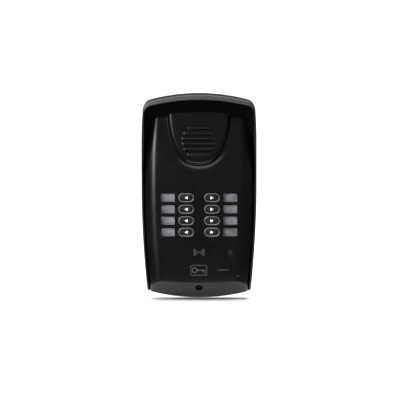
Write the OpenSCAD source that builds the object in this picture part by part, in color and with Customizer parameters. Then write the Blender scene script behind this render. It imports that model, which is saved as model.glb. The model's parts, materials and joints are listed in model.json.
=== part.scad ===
// Wall-mounted door-entry station with a card reader: a black face panel under a rain hood,
// eight sprung call keys with name windows beside them, a loudspeaker behind a ribbed grille,
// and the board, antenna and terminals behind the face.
// Millimetres. X runs across the face, Z is up, and the face looks along -Y.
// The origin is the centre of the flat back, which lies on the wall at y = 0.
// Every depth below is a distance from the wall towards the viewer, so depth 36 is y = -36.

/* [Case] */
// Width at the widest part of the barrel-shaped outline
case_w = 120; // [118:1:122]
// Height from the lowest point of the chin to the top of the hood
case_h = 213; // [210:1:216]
// Depth of the hood's front rim
hood_depth = 60; // [57:1:63]
// Depth of the flat front of the face panel
face_depth = 36; // [35:0.5:37]
// Thickness of the moulded walls
wall = 2.5; // [2.2:0.1:2.8]

/* [Call keys] */
// Distance between key rows
key_pitch = 11.9; // [11.7:0.1:12.2]
// Width of the silver ring round a key
key_w = 16.2; // [15.8:0.1:16.4]
// Height of the silver ring round a key
key_h = 9.1; // [8.9:0.1:9.4]
// Distance of a key column from the centre line
key_x = 13.4; // [13.2:0.1:13.6]
// How far a key travels when pressed
key_travel = 1.2; // [0.8:0.1:1.3]
// Distance of a column of name windows from the centre line
label_x = 32.4; // [32.2:0.1:32.8]
// Width of a name window
label_w = 14.4; // [14:0.1:14.6]
// Height of a name window
label_h = 8.4; // [8:0.1:8.8]

/* [Loudspeaker] */
// Diameter of the loudspeaker's basket
speaker_d = 38; // [36:0.5:38]
// Radius of the circle that the grille's ribs fill
grille_r = 18; // [17:0.5:18]
// Distance between the grille's ribs
rib_pitch = 5.4; // [5.2:0.1:5.5]
// How far the speaker plate stands out from the face
plate_rise = 3.5; // [3:0.5:4]

/* [Fixing] */
// Distance between the two holes that match a flush wall box
box_hole_gap = 83.5; // [82:0.5:84]
// Radius of the wall screw holes
wall_hole_r = 2.25; // [2:0.05:2.5]
// Radius of the cable hole through the grommet
cable_r = 6; // [5:0.5:7]

/* [Hidden] */
$fn = 64;

black = [0.05, 0.05, 0.055];
silver = [0.75, 0.75, 0.78];

// Outline of the case: two long side arcs, a top arc, a bottom arc and round top corners.
side_r = 1050;
side_z = 12;
top_r = 197;
bottom_r = 200;
top_corner_r = 9.5;
side_c = [case_w / 2 - side_r, side_z];
bottom_c = [0, bottom_r - case_h / 2];

// Hood: cheeks either side of the face, and a cove that runs from the face up to the rim.
cheek = 2;
hood_back = 1.5;
cheek_depth = face_depth - 8;
cheek_low_z = 15;
cheek_high_z = 92;
brow_drop = 2.6;
rim_drop = 7;
rim_r = 205;
throat_z = 84;
throat_r = 300;
throat_corner = 5;
lip_back = face_depth + 0.4;
lip_front = lip_back + 1;
shoulder_z = 40;
shoulder_r = 95;
ledge_depth = face_depth - 20;
ledge_w = 4;
hook_x = 16;
hook_w = 8;
hook_reach = 0.8;

// Face panel: set in from the outline, with round sides and a chin that slopes back.
gap = 1;
panel_inset = cheek + gap;
panel_top_z = 93;
rim_depth = face_depth - 16;
side_drop = 10;
side_run = 13.5;
chin_z = -91.7;
chin_arc_r = 382;
chin_slope = 33;
inner_depth = face_depth - wall;

// Speaker plate: a tongue with a superellipse outline that hangs down from under the hood.
plate_z = 95;
plate_top_z = 91;
plate_half_w = 31.5;
plate_len = 60.7;
plate_power = 2.35;
plate_slope = 1.6;
plate_depth = face_depth + plate_rise;
speaker_z = 56;
rib_h = 3;
rib_rise = 1;
slot_h = 0.9;
slot_end = 2.5;

// Call keys, counted down the left column and then down the right one.
key_top_z = -1.9;
ring_w = 0.95;
ring_proud = 0.4;
ring_sunk = 0.8;
cap_gap = 0.3;
cap_proud = 1.4;
cap_edge = 1.1;
flange_t = 1.2;
arrow_size = 3.2;
arrow_t = 0.5;
dome_r = 4.4;
dome_top_r = 2.4;

// Board and what stands on it.
board_depth = face_depth - 9;
board_t = 1.6;
board_back = board_depth - board_t;
board_half_w = 45;
board_top_z = 30;
board_low_z = -79;
board_post = [41, 24, -73];
mat_t = 1.2;
mat_top = board_depth + mat_t;
lens_gap = 0.15;
strip_front = inner_depth - 0.2;
strip_back = strip_front - 1.2;
strip_h = 3 * key_pitch + label_h + 3;
key_mid_z = key_top_z - 1.5 * key_pitch;
terminal_at = [14, -58];
terminal_n = 8;
terminal_pitch = 5;
antenna_z = -64;
trimmer_at = [-34, -66];
lens_at = [32.1, -58.7];
lens_r = 2.3;
mic_at = [40.2, -83.2];
mic_can_at = [39.2, -82.2];
mic_can_r = 2.6;
mic_boot_r = 3.6;
mic_front = inner_depth - 1.65;
mic_can_h = 4.8;
speaker_post_r = speaker_d / 2 + 2.5;
speaker_post_angles = [20, 90, 160];
speaker_front = plate_depth - wall - 1;
speaker_r = speaker_d / 2;
mesh_back = 0.7;

// Fixing screw through the chin: local +Z points out of the chin, square to its slope.
screw_z = -95.8;
screw_depth = face_depth - (chin_z - screw_z) * tan(chin_slope);
screw_well_r = 3.75;
screw_seat = 6;
screw_len = 22;
screw_r = 1.75;
insert_len = 7;

// Places on the back.
base_t = 3;
base_rim = 14;
base_inset = wall + 1;
cable_z = -20;
corner_hole = [38, 76];
panel_post = [[48.5, 66], [49, -62]];

// A circular arc's points, without its last one.
function arc(c, r, a0, a1, n) =
    [for (i = [0:n - 1]) let (a = a0 + (a1 - a0) * i / n) c + r * [cos(a), sin(a)]];
function angle(c, p) = atan2(p[1] - c[1], p[0] - c[0]);

// Where two circles meet; s is 1 or -1 for the point to the left or right of the way from c1 to c2.
function meet(c1, r1, c2, r2, s) =
    let (d = norm(c2 - c1),
         u = (c2 - c1) / d,
         a = (d * d + r1 * r1 - r2 * r2) / (2 * d),
         h = sqrt(r1 * r1 - a * a))
    c1 + a * u + s * h * [-u[1], u[0]];

// Right half of an outline, from the bottom middle to the top middle. The shoulder is an arc that
// leaves the side arc at shoulder_z; with shoulder = side_r it is one and the same arc.
function half_outline(inset, shoulder, corner, top, top_arc, low) =
    let (sr = side_r - inset,
         tc = [0, top - top_arc],
         bc = [0, low + bottom_r],
         sa = asin((shoulder_z - side_z) / side_r),
         hc = side_c + (side_r - shoulder) * [cos(sa), sin(sa)],
         cc = meet(hc, shoulder - inset - corner, tc, top_arc - corner, 1),
         bp = meet(side_c, sr, bc, bottom_r, -1))
    concat(arc(bc, bottom_r, -90, angle(bc, bp), 5),
           arc(side_c, sr, angle(side_c, bp), sa, 6),
           arc(hc, shoulder - inset, sa, angle(hc, cc), 4),
           arc(cc, corner, angle(hc, cc), angle(tc, cc), 5),
           arc(tc, top_arc, angle(tc, cc), 90, 6),
           [[0, top]]);
function both_halves(h) = concat(h, [for (i = [len(h) - 2:-1:1]) [-h[i][0], h[i][1]]]);
// Outline of the case, set in all round; drop lowers the top arc a little more.
function outline(inset, drop = 0) =
    let (corner = max(top_corner_r - inset, 1), top = case_h / 2 - inset)
    both_halves(half_outline(inset, side_r, corner, top - drop, top_r - inset, -top));

// Superellipse outline of the speaker plate, cut off level at its top.
function plate_outline(grow) = [for (a = [-180:5:0])
    [(plate_half_w + grow) * sign(cos(a)) * pow(abs(cos(a)), 2 / plate_power),
     min(plate_z - (plate_len + grow) * pow(abs(sin(a)), 2 / plate_power), plate_top_z + grow)]];

function key_row_z(n) = key_top_z - key_pitch * ((n - 1) % 4);
function key_side(n) = n <= 4 ? -1 : 1;

// Extrudes a drawing of the face, in x and z, from depth d0 to depth d1.
module slab(d0, d1) translate([0, -d0, 0]) rotate([90, 0, 0]) linear_extrude(d1 - d0) children();
// Extrudes a drawing of the side, in y and z, from x0 to x1.
module across(x0, x1) translate([x0, 0, 0]) rotate([90, 0, 90]) linear_extrude(x1 - x0) children();
// A round bar that runs from depth d0 to depth d1.
module rod(x, z, d0, d1, r) translate([x, -d0, z]) rotate([90, 0, 0]) cylinder(r = r, h = d1 - d0);
// A bar with half-round ends, drawn flat.
module pill(w, h) {
    square([w - h, h], center = true);
    for (s = [-1, 1]) translate([s * (w - h) / 2, 0]) circle(d = h);
}
module at_key(n) translate([key_side(n) * key_x, key_row_z(n)]) children();
module in_key(n) translate([key_side(n) * key_x, 0, key_row_z(n)]) children();
module along_screw() translate([0, -screw_depth, screw_z]) rotate([90 + chin_slope, 0, 0]) children();
module mirrored() {
    children();
    mirror([1, 0, 0]) children();
}

// A ring of points at one depth, from an outline drawn flat.
function at_depth(points, d) = [for (p = points) [p[0], -d, p[1]]];
// Part of the way t from one outline to another with as many points.
function between(a, b, t) = [for (i = [0:len(a) - 1]) a[i] + (b[i] - a[i]) * t];

// A solid skinned over rings that lie one in front of the other, the rearmost first.
module loft(rings) {
    n = len(rings[0]);
    last = (len(rings) - 1) * n;
    walls = [for (k = [0:len(rings) - 2], i = [0:n - 1]) let (a = k * n + i, b = k * n + (i + 1) % n)
        for (f = [[a, a + n, b + n], [a, b + n, b]]) f];
    polyhedron([for (r = rings) each r],
        concat([[for (i = [0:n - 1]) i]], walls, [[for (i = [n - 1:-1:0]) last + i]]));
}

// The cove inside the hood, from the lip over the face out past the rim.
module hood_recess() {
    inset = cheek - 0.3;
    low = -case_h / 2 - 8;
    mouth_z = case_h / 2 - rim_drop;
    throat = both_halves(half_outline(inset, shoulder_r, throat_corner, throat_z, throat_r, low));
    mouth = both_halves(half_outline(inset, side_r, top_corner_r - inset, mouth_z, rim_r, low));
    steps = 5;
    loft(concat(
        [at_depth(throat, lip_back - 3)],
        [for (k = [0:steps]) let (t = k / steps, d = lip_front + (hood_depth - lip_front) * t)
            at_depth(between(throat, mouth, 1 - (1 - t) * (1 - t)), d)],
        [at_depth(mouth, hood_depth + 2)]));
}

// Side view of the hood: the cheeks swell forward from cheek_low_z up to the rim.
module hood_profile() {
    steps = 10;
    swell = hood_depth - cheek_depth;
    rise = cheek_high_z - cheek_low_z;
    across(-case_w, case_w) polygon(concat(
        [[-hood_back, -case_h], [4 - cheek_depth, -case_h], [4 - cheek_depth, chin_z - 8],
         [-cheek_depth, chin_z]],
        [for (i = [0:steps]) let (t = i / steps)
            [-cheek_depth - swell * t * t * (3 - 2 * t), cheek_low_z + rise * t]],
        [[-hood_depth, case_h], [-hood_back, case_h]]));
}

// One side of the face: a large disc, its edge rounded over side_run, that gives the barrel shape.
module side_disc(grow, back, front) {
    steps = 6;
    r = side_r - panel_inset + grow;
    bend = 2 * atan(side_drop / side_run);
    bend_r = side_run / sin(bend);
    translate([side_c[0], 0, side_z]) rotate([90, 0, 0]) rotate_extrude($fn = 256) polygon(concat(
        [[r - 200, back], [r, back], [r, front - side_drop]],
        [for (i = [steps - 1:-1:0]) let (a = bend * i / steps)
            [r - side_run + bend_r * sin(a), front - bend_r * (1 - cos(a))]],
        [[r - 200, front]]));
}

// Outline of the face panel: two side arcs, the arc of the chin's edge and an arc under the visor.
module panel_shape(grow) intersection() {
    translate(side_c) circle(r = side_r - panel_inset + grow, $fn = 256);
    translate([-side_c[0], side_z]) circle(r = side_r - panel_inset + grow, $fn = 256);
    translate(bottom_c) circle(r = bottom_r + grow, $fn = 256);
    translate([0, panel_top_z - top_r]) circle(r = top_r + grow, $fn = 256);
}

// The face without its openings, grown outwards by grow, from depth back to depth front.
module face_block(grow, back, front) {
    edge = grow / cos(chin_slope) - (front - face_depth) / tan(chin_slope);
    intersection() {
        side_disc(grow, back, front);
        mirror([1, 0, 0]) side_disc(grow, back, front);
        translate([0, -back, chin_z + chin_arc_r]) rotate([90, 0, 0])
            cylinder(r1 = chin_arc_r + edge + (front - back) / tan(chin_slope), r2 = chin_arc_r + edge,
                h = front - back, $fn = 256);
        slab(back - 1, front + 1) translate(bottom_c) circle(r = bottom_r + grow, $fn = 256);
        slab(back - 1, front + 1) translate([0, panel_top_z - top_r]) circle(r = top_r + grow, $fn = 256);
    }
}

// Speaker plate with a sloped wall; grow sets its outline in or out.
module speaker_plate(grow, back, front)
    loft([at_depth(plate_outline(grow + plate_slope), back), at_depth(plate_outline(grow), front)]);

// Tongues of the wall base, and with more reach the slots that take them.
module hooks(back, front, reach, w) for (s = [-1, 1]) slab(back, front) intersection() {
    polygon(outline(wall - reach));
    translate([s * hook_x - w / 2, 90]) square([w, 20]);
}

module panel_lugs(r, back, front) mirrored() for (p = panel_post) rod(p[0], p[1], back, front, r);

module rain_hood() color(black) {
    difference() {
        union() {
            difference() {
                intersection() {
                    loft([at_depth(outline(0), hood_back), at_depth(outline(0, brow_drop), hood_depth)]);
                    hood_profile();
                }
                slab(hood_back - 1, ledge_depth) polygon(outline(wall));
                slab(ledge_depth - 1, ledge_depth + wall + 1) panel_shape(-ledge_w);
            }
            panel_lugs(4.2, ledge_depth, ledge_depth + wall);
        }
        hood_recess();
        face_block(gap, ledge_depth + wall, lip_back);
        speaker_plate(gap / 2, face_depth - 1, plate_depth + 0.4);
        visor_pocket();
        hooks(9, 13, hook_reach + 0.4, hook_w + 1);
        panel_lugs(1.6, ledge_depth - 1, ledge_depth + 4);
    }
}

// Hollow behind the visor, open to the back, that keeps its walls thin.
module visor_pocket() {
    back = 1 - ledge_depth;
    low = panel_top_z + gap + wall;
    high = case_h / 2 - rim_drop;
    intersection() {
        slab(ledge_depth - 1, hood_depth - 6) polygon(outline(wall + 0.5, brow_drop));
        across(-40, 40) polygon([[back, low], [-lip_back - 7, low], [8 - hood_depth, high + 0.8],
            [6 - hood_depth, high + 1.4], [6 - hood_depth, case_h / 2], [back, case_h / 2]]);
    }
}

function row_z(i) = rib_pitch * (i - 2.5);
function row_half(i) = sqrt(pow(grille_r, 2) - pow(row_z(i), 2));

module board_posts(r, back, front)
    for (x = [-1, 1], z = [board_post[1], board_post[2]]) rod(x * board_post[0], z, back, front, r);
module speaker_posts(r, back, front)
    for (a = speaker_post_angles)
        rod(speaker_post_r * cos(a), speaker_z + speaker_post_r * sin(a), back, front, r);

module face_panel() color(black) difference() {
    union() {
        difference() {
            union() {
                face_block(0, rim_depth, face_depth);
                speaker_plate(0, face_depth - 1, plate_depth);
            }
            face_block(-wall, rim_depth - 1, inner_depth);
            slab(inner_depth - 1, plate_depth - wall) polygon(plate_outline(-wall));
        }
        for (i = [0:5]) slab(plate_depth - 1, plate_depth + rib_rise)
            translate([0, speaker_z + row_z(i)]) pill(2 * row_half(i), rib_h);
        board_posts(3, board_depth, inner_depth + 0.5);
        panel_lugs(3.1, rim_depth, inner_depth - 4);
        speaker_posts(2.3, plate_depth - wall - 2, plate_depth - 1);
        intersection() {
            along_screw() translate([0, 0, -9]) cylinder(r = 5.6, h = 9);
            face_block(-0.5, rim_depth, face_depth - 0.5);
        }
    }
    for (n = [1:8]) {
        slab(inner_depth - 1, face_depth + 1) at_key(n) pill(key_w - 2 * ring_w, key_h - 2 * ring_w);
        slab(face_depth - ring_sunk, face_depth + 1) at_key(n) pill(key_w, key_h);
        slab(inner_depth - 1, face_depth + 1) translate([key_side(n) * label_x, key_row_z(n)])
            square([label_w, label_h], center = true);
    }
    for (i = [0:5]) slab(plate_depth - wall - 1, plate_depth + 1)
        translate([0, speaker_z + row_z(i) - rib_h / 2 - slot_h / 2])
            square([2 * (row_half(i) - slot_end), slot_h], center = true);
    rod(lens_at[0], lens_at[1], inner_depth - 1, face_depth + 1, lens_r + 0.1);
    slab(inner_depth - 1, face_depth + 1) translate(mic_at) pill(3, 0.9);
    along_screw() translate([0, 0, -screw_seat]) cylinder(r = screw_well_r, h = 20);
    along_screw() translate([0, 0, -12]) cylinder(r = 2, h = 12);
    board_posts(1.15, board_depth - 1, inner_depth);
    panel_lugs(1.45, rim_depth - 1, rim_depth + 9);
    speaker_posts(0.95, plate_depth - wall - 3, plate_depth - 1.2);
}

module wall_base() color([0.08, 0.08, 0.085]) difference() {
    union() {
        difference() {
            slab(0, base_rim) polygon(outline(base_inset));
            slab(base_t, base_rim + 1) polygon(outline(base_inset + 2));
        }
        difference() {
            hooks(10, 12, hook_reach, hook_w);
            slab(9, 13) polygon(outline(base_inset + 1));
        }
        intersection() {
            along_screw() translate([0, 0, -44])
                cylinder(r = 4.4, h = 44 - screw_seat - screw_len + insert_len);
            slab(1, 40) square(3 * case_h, center = true);
        }
    }
    along_screw() translate([0, 0, -screw_seat - screw_len - 1]) cylinder(r = 2.8, h = screw_len);
    difference() {
        slab(-1, 1.2) polygon(outline(base_inset + 3));
        slab(-2, 2) polygon(outline(base_inset + 7));
    }
    rod(0, cable_z, -1, base_t + 1, cable_r + 4);
    for (s = [-1, 1]) {
        rod(0, cable_z + s * box_hole_gap / 2, -1, base_t + 1, wall_hole_r);
        for (t = [-1, 1]) rod(s * corner_hole[0], t * corner_hole[1], -1, base_t + 1, wall_hole_r);
    }
}

module wall_gasket() color([0.2, 0.2, 0.2]) difference() {
    slab(0, 1.2) polygon(outline(base_inset + 3));
    slab(-1, 2) polygon(outline(base_inset + 7));
}

module panel_gasket() color([0.25, 0.25, 0.26]) slab(ledge_depth + wall, rim_depth) difference() {
    panel_shape(-0.3);
    panel_shape(0.2 - wall);
}

// Pill-shaped key: a sloped crown, a shank through the face, a flange behind it and a round stem.
module key_cap(n) color([0.09, 0.09, 0.1]) {
    w = key_w - 2 * ring_w - 2 * cap_gap;
    h = key_h - 2 * ring_w - 2 * cap_gap;
    shoulder = face_depth + cap_proud - 0.9;
    difference() {
        union() {
            slab(inner_depth - 0.1, shoulder) at_key(n) pill(w, h);
            hull() {
                slab(shoulder - 0.01, shoulder) at_key(n) pill(w, h, $fn = 32);
                slab(shoulder, face_depth + cap_proud) at_key(n)
                    pill(w - 2 * cap_edge, h - 2 * cap_edge, $fn = 32);
            }
            slab(inner_depth - 0.1 - flange_t, inner_depth - 0.1) at_key(n) pill(w + 1.6, h + 1.6);
            rod(key_side(n) * key_x, key_row_z(n), mat_top + 3, inner_depth - 1, dome_top_r);
        }
        slab(face_depth + cap_proud - arrow_t, face_depth + cap_proud + 1) at_key(n) arrow(n);
    }
}

// Triangle that points at the name window beside the key.
module arrow(n) {
    s = key_side(n) * arrow_size / 2;
    polygon([[s, 0], [-s, arrow_size / 2], [-s, -arrow_size / 2]]);
}

module key_arrow(n) color("white")
    slab(face_depth + cap_proud - arrow_t, face_depth + cap_proud) at_key(n) arrow(n);

module key_ring(n) color(silver)
    slab(face_depth - ring_sunk, face_depth + ring_proud) at_key(n) difference() {
        pill(key_w - 0.1, key_h - 0.1);
        pill(key_w - 2 * ring_w, key_h - 2 * ring_w);
    }

// Silicone sheet on the board with a hollow dome under each key.
module keypad_mat() color([0.6, 0.6, 0.62, 0.9]) difference() {
    union() {
        slab(board_depth, mat_top) translate([0, key_mid_z])
            square([2 * key_x + 16, 3 * key_pitch + 14], center = true);
        for (n = [1:8]) in_key(n) rotate([90, 0, 0]) {
            translate([0, 0, mat_top - 0.5]) cylinder(r1 = dome_r, r2 = dome_top_r + 0.3, h = 2.5);
            translate([0, 0, mat_top + 1.5]) cylinder(r = dome_top_r, h = 1.5);
        }
    }
    for (n = [1:8]) in_key(n) rotate([90, 0, 0]) translate([0, 0, board_depth - 1])
        cylinder(r1 = dome_r - 0.2, r2 = dome_top_r - 0.6, h = 1 + mat_t + 1.2);
}

// Clear strip: four panes that fill the name windows, on one plate with rails for the label card.
module window_strip(s) color([0.85, 0.88, 0.9, 0.4]) {
    slab(strip_back, strip_front) translate([s * label_x, key_mid_z])
        square([label_w + 2.4, strip_h], center = true);
    for (n = [1:4]) slab(strip_front - 0.1, face_depth - 0.2) translate([s * label_x, key_row_z(n)])
        square([label_w - 2 * lens_gap, label_h - 2 * lens_gap], center = true);
    for (t = [-1, 1]) slab(strip_back - 0.8, strip_back)
        translate([s * label_x + t * (label_w + 1.4) / 2, key_mid_z]) square([1, strip_h], center = true);
}

module label_strip(s) color([0.8, 0.8, 0.82])
    slab(strip_back - 0.4, strip_back) translate([s * label_x, key_mid_z])
        square([label_w, strip_h - 1], center = true);

module main_board() color([0.05, 0.3, 0.15]) slab(board_back, board_depth) difference() {
    translate([-board_half_w, board_low_z]) square([2 * board_half_w, board_top_z - board_low_z]);
    for (x = [-1, 1], z = [board_post[1], board_post[2]]) translate([x * board_post[0], z]) circle(r = 1.4);
}

module backlight_leds() color([0.95, 0.95, 0.8])
    for (s = [-1, 1], n = [1:4]) slab(board_depth, board_depth + 0.8)
        translate([s * label_x, key_row_z(n)]) square([3.5, 2.8], center = true);

module microcontroller() color([0.1, 0.1, 0.1]) {
    slab(board_back - 1.6, board_back - 0.1) translate([24, -8]) square(12, center = true);
    for (a = [0:90:270], i = [-4:4]) translate([24, 0, -8]) rotate([0, a, 0]) translate([i * 1.2, 0, 6.5])
        slab(board_back - 0.9, board_back) square([0.5, 1.6], center = true);
}

module lock_relay() color([0.1, 0.25, 0.6])
    slab(board_back - 15.3, board_back) translate([-26, -26]) square([15.5, 19.2], center = true);

// Its children, once for each way of the terminal block.
module each_terminal() for (i = [0:terminal_n - 1])
    translate([terminal_at[0] + terminal_pitch * (i - (terminal_n - 1) / 2), 0, terminal_at[1]]) children();

module terminal_block() color([0.1, 0.45, 0.2]) difference() {
    slab(board_back - 12, board_back) translate(terminal_at)
        square([terminal_n * terminal_pitch, 10], center = true);
    each_terminal() {
        rod(0, 1, board_back - 13, board_back - 6, 1.9);
        slab(board_back - 9, board_back - 3) translate([-1.6, -6]) square([3.2, 6]);
    }
}

module terminal_screws() color(silver) each_terminal() difference() {
    rod(0, 1, board_back - 11.2, board_back - 6.2, 1.8);
    slab(board_back - 12, board_back - 10.4) translate([-2, 0.7]) square([4, 0.6]);
}

module capacitors() color([0.1, 0.1, 0.15])
    for (p = [[-6, 12], [6, 14], [-34, 6]]) rod(p[0], p[1], board_back - 11, board_back, 4);

module trimmer_body() color([0.15, 0.35, 0.7]) difference() {
    slab(board_back - 4, board_back) translate(trimmer_at) square(6.6, center = true);
    rod(trimmer_at[0], trimmer_at[1], board_back - 5, board_back - 2, 2.45);
}

module trimmer_rotor() color([0.9, 0.9, 0.85]) difference() {
    rod(trimmer_at[0], trimmer_at[1], board_back - 4.6, board_back - 2.05, 2.4);
    slab(board_back - 5, board_back - 3.8) translate(trimmer_at) square([3.8, 0.7], center = true);
}

module status_lens() color([0.3, 0.3, 0.32, 0.7]) {
    rod(lens_at[0], lens_at[1], inner_depth - 1, face_depth, lens_r);
    rod(lens_at[0], lens_at[1], inner_depth - 2, inner_depth - 0.05, lens_r + 0.9);
}

module status_led() color([0.9, 0.9, 0.85])
    slab(board_depth, board_depth + 1.2) translate(lens_at) square([3.2, 2.6], center = true);

module microphone() color(silver)
    rod(mic_can_at[0], mic_can_at[1], mic_front - mic_can_h, mic_front, mic_can_r);

// Rubber cup round the microphone; its front tapers to clear the rounded side of the face.
module microphone_boot() color([0.12, 0.12, 0.12]) difference() {
    union() {
        rod(mic_can_at[0], mic_can_at[1], mic_front - 4, mic_front + 0.15, mic_boot_r);
        translate([mic_can_at[0], -mic_front - 0.15, mic_can_at[1]]) rotate([90, 0, 0])
            cylinder(r1 = mic_boot_r, r2 = 1.5, h = 0.75);
    }
    rod(mic_can_at[0], mic_can_at[1], mic_front - 5, mic_front + 0.05, mic_can_r + 0.05);
    slab(mic_front - 0.5, inner_depth + 1) translate(mic_at) pill(3, 0.9);
}

// Turns a profile about the speaker's axis; the profile holds radii and distances behind its front.
module speaker_turned(profile) translate([0, 0, speaker_z]) rotate([90, 0, 0]) rotate_extrude($fn = 96)
    polygon([for (p = profile) [p[0], speaker_front - p[1]]]);

module speaker_basket() color([0.3, 0.3, 0.32]) speaker_turned([
    [speaker_r - 2.6, 0], [speaker_r, 0], [speaker_r, 1], [speaker_r - 1.6, 1], [12.4, 9], [5.2, 9],
    [5.2, 8], [11.6, 8], [speaker_r - 2.6, 1]]);

// Dome, cone and roll surround, with the voice coil's former behind them.
module speaker_cone() color([0.12, 0.12, 0.12]) speaker_turned([
    [0, 3.6], [3, 4], [5, 5.6], [speaker_r - 4.6, 1.4], [speaker_r - 3.8, 0.7], [speaker_r - 2.8, 0.9],
    [speaker_r - 2.8, 1.2], [speaker_r - 3.8, 1.1], [speaker_r - 4.5, 1.8], [5, 6.1],
    [4.8, 7.8], [4.5, 7.8], [4.5, 5.9], [2.8, 4.4], [0, 4]]);

module speaker_magnet() color([0.4, 0.4, 0.42]) speaker_turned([
    [0, 16], [13, 16], [13, 9.05], [5.3, 9.05], [5.3, 14], [4, 14], [4, 8.4], [0, 8.4]]);

module speaker_gasket() color([0.15, 0.15, 0.15]) speaker_turned([
    [speaker_r - 2.4, 0], [speaker_r, 0], [speaker_r, -mesh_back], [speaker_r - 2.4, -mesh_back]]);

module grille_mesh() color([0.08, 0.08, 0.08])
    rod(0, speaker_z, speaker_front + mesh_back, speaker_front + 1, speaker_r);

// Wire ring of the card antenna, wound round its former.
module antenna_coil() color([0.72, 0.4, 0.18])
    slab(inner_depth - 2.9, inner_depth - 0.9) translate([0, antenna_z]) difference() {
        pill(54, 34);
        pill(46.4, 26.4);
    }

module antenna_former() color([0.85, 0.83, 0.75]) translate([0, 0, antenna_z]) {
    slab(inner_depth - 0.9, inner_depth) difference() {
        pill(56, 36);
        pill(44, 24);
    }
    slab(inner_depth - 3.2, inner_depth - 0.9) difference() {
        pill(46.2, 26.2);
        pill(44, 24);
    }
}

// Pan-head machine screw with a six-sided socket and a pin in the middle of it.
module fixing_screw() color(silver) along_screw() {
    difference() {
        union() {
            translate([0, 0, -screw_seat]) cylinder(r = 3.2, h = 2.6);
            translate([0, 0, -screw_seat - screw_len]) cylinder(r = screw_r, h = screw_len + 1);
        }
        translate([0, 0, -screw_seat + 1]) cylinder(r = 1.6, h = 3, $fn = 6);
    }
    translate([0, 0, -screw_seat + 0.5]) cylinder(r = 0.5, h = 1.9);
}

module threaded_insert() color([0.8, 0.65, 0.3])
    along_screw() translate([0, 0, -screw_seat - screw_len]) difference() {
        cylinder(r = 2.75, h = insert_len);
        translate([0, 0, -1]) cylinder(r = screw_r + 0.05, h = insert_len + 2);
    }

module board_screws() color(silver) {
    board_posts(2.3, board_back - 1.6, board_back);
    board_posts(1.1, board_back, board_back + 7);
}

module panel_screws() color(silver) {
    panel_lugs(2.6, ledge_depth - 1.8, ledge_depth);
    panel_lugs(1.4, ledge_depth, ledge_depth + 11);
}

module speaker_screws() color(silver) {
    speaker_posts(3.1, speaker_front - 2, speaker_front - 1);
    speaker_posts(0.9, speaker_front - 1, speaker_front + 1.6);
}

module cable_grommet() color([0.1, 0.1, 0.1]) translate([0, 0, cable_z]) difference() {
    union() {
        rod(0, 0, 0, base_t + 2, cable_r + 3.95);
        rod(0, 0, base_t + 0.05, base_t + 2, cable_r + 5.5);
    }
    rod(0, 0, -1, base_t + 3, cable_r);
}

rain_hood();
face_panel();
wall_base();
wall_gasket();
panel_gasket();
for (n = [1:8]) {
    key_cap(n);
    key_arrow(n);
    key_ring(n);
}
keypad_mat();
window_strip(-1);  // window_left
window_strip(1);  // window_right
label_strip(-1);  // label_strip_left
label_strip(1);  // label_strip_right
main_board();
backlight_leds();
microcontroller();
lock_relay();
terminal_block();
terminal_screws();
capacitors();
trimmer_body();
trimmer_rotor();
status_lens();
status_led();
microphone();
microphone_boot();
speaker_basket();
speaker_cone();
speaker_magnet();
speaker_gasket();
grille_mesh();
antenna_coil();
antenna_former();
fixing_screw();
threaded_insert();
board_screws();
panel_screws();
speaker_screws();
cable_grommet();
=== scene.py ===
"""Looks of a wall-mounted door-entry station with a card reader.

Millimetres are used for all shapes here and turned into metres when a mesh is made. X runs across
the face, Z is up, and a depth is a distance from the wall, so depth 36 is y = -36.
"""
import json
import math

import bmesh
import bpy
import numpy as np
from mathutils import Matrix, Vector


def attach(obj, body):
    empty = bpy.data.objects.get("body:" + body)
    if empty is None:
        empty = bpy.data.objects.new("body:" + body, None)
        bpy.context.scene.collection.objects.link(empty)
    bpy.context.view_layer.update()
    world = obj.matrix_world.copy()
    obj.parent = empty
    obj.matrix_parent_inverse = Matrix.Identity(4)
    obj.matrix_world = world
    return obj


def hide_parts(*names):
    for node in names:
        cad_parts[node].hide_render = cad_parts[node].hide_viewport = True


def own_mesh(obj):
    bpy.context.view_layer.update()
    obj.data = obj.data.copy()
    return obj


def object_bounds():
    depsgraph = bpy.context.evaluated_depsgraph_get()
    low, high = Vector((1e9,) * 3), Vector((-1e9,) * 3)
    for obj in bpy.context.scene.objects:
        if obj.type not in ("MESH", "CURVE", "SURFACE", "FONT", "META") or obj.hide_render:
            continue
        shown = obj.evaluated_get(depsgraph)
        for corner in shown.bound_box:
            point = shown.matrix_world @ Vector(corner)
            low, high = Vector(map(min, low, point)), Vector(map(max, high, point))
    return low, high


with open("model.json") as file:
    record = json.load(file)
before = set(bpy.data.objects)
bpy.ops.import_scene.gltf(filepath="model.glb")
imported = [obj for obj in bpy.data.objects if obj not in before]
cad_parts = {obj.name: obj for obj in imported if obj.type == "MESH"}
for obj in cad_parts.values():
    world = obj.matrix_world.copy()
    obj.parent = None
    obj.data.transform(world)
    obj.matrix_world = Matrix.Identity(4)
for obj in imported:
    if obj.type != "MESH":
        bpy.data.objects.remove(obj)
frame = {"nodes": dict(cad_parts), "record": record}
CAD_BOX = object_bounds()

MM = 0.001

# Outline of the case: long side arcs, a top arc, a bottom arc and round top corners.
CASE_W, CASE_H, HOOD_DEPTH, FACE_DEPTH, WALL = 120.0, 213.0, 60.0, 36.0, 2.5
SIDE_R, SIDE_Z, TOP_R, BOTTOM_R, TOP_CORNER_R = 1050.0, 12.0, 197.0, 200.0, 9.5
SIDE_X = CASE_W / 2 - SIDE_R
TOP_Z = CASE_H / 2
SHOULDER_Z, SHOULDER_R = 40.0, 95.0

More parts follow.
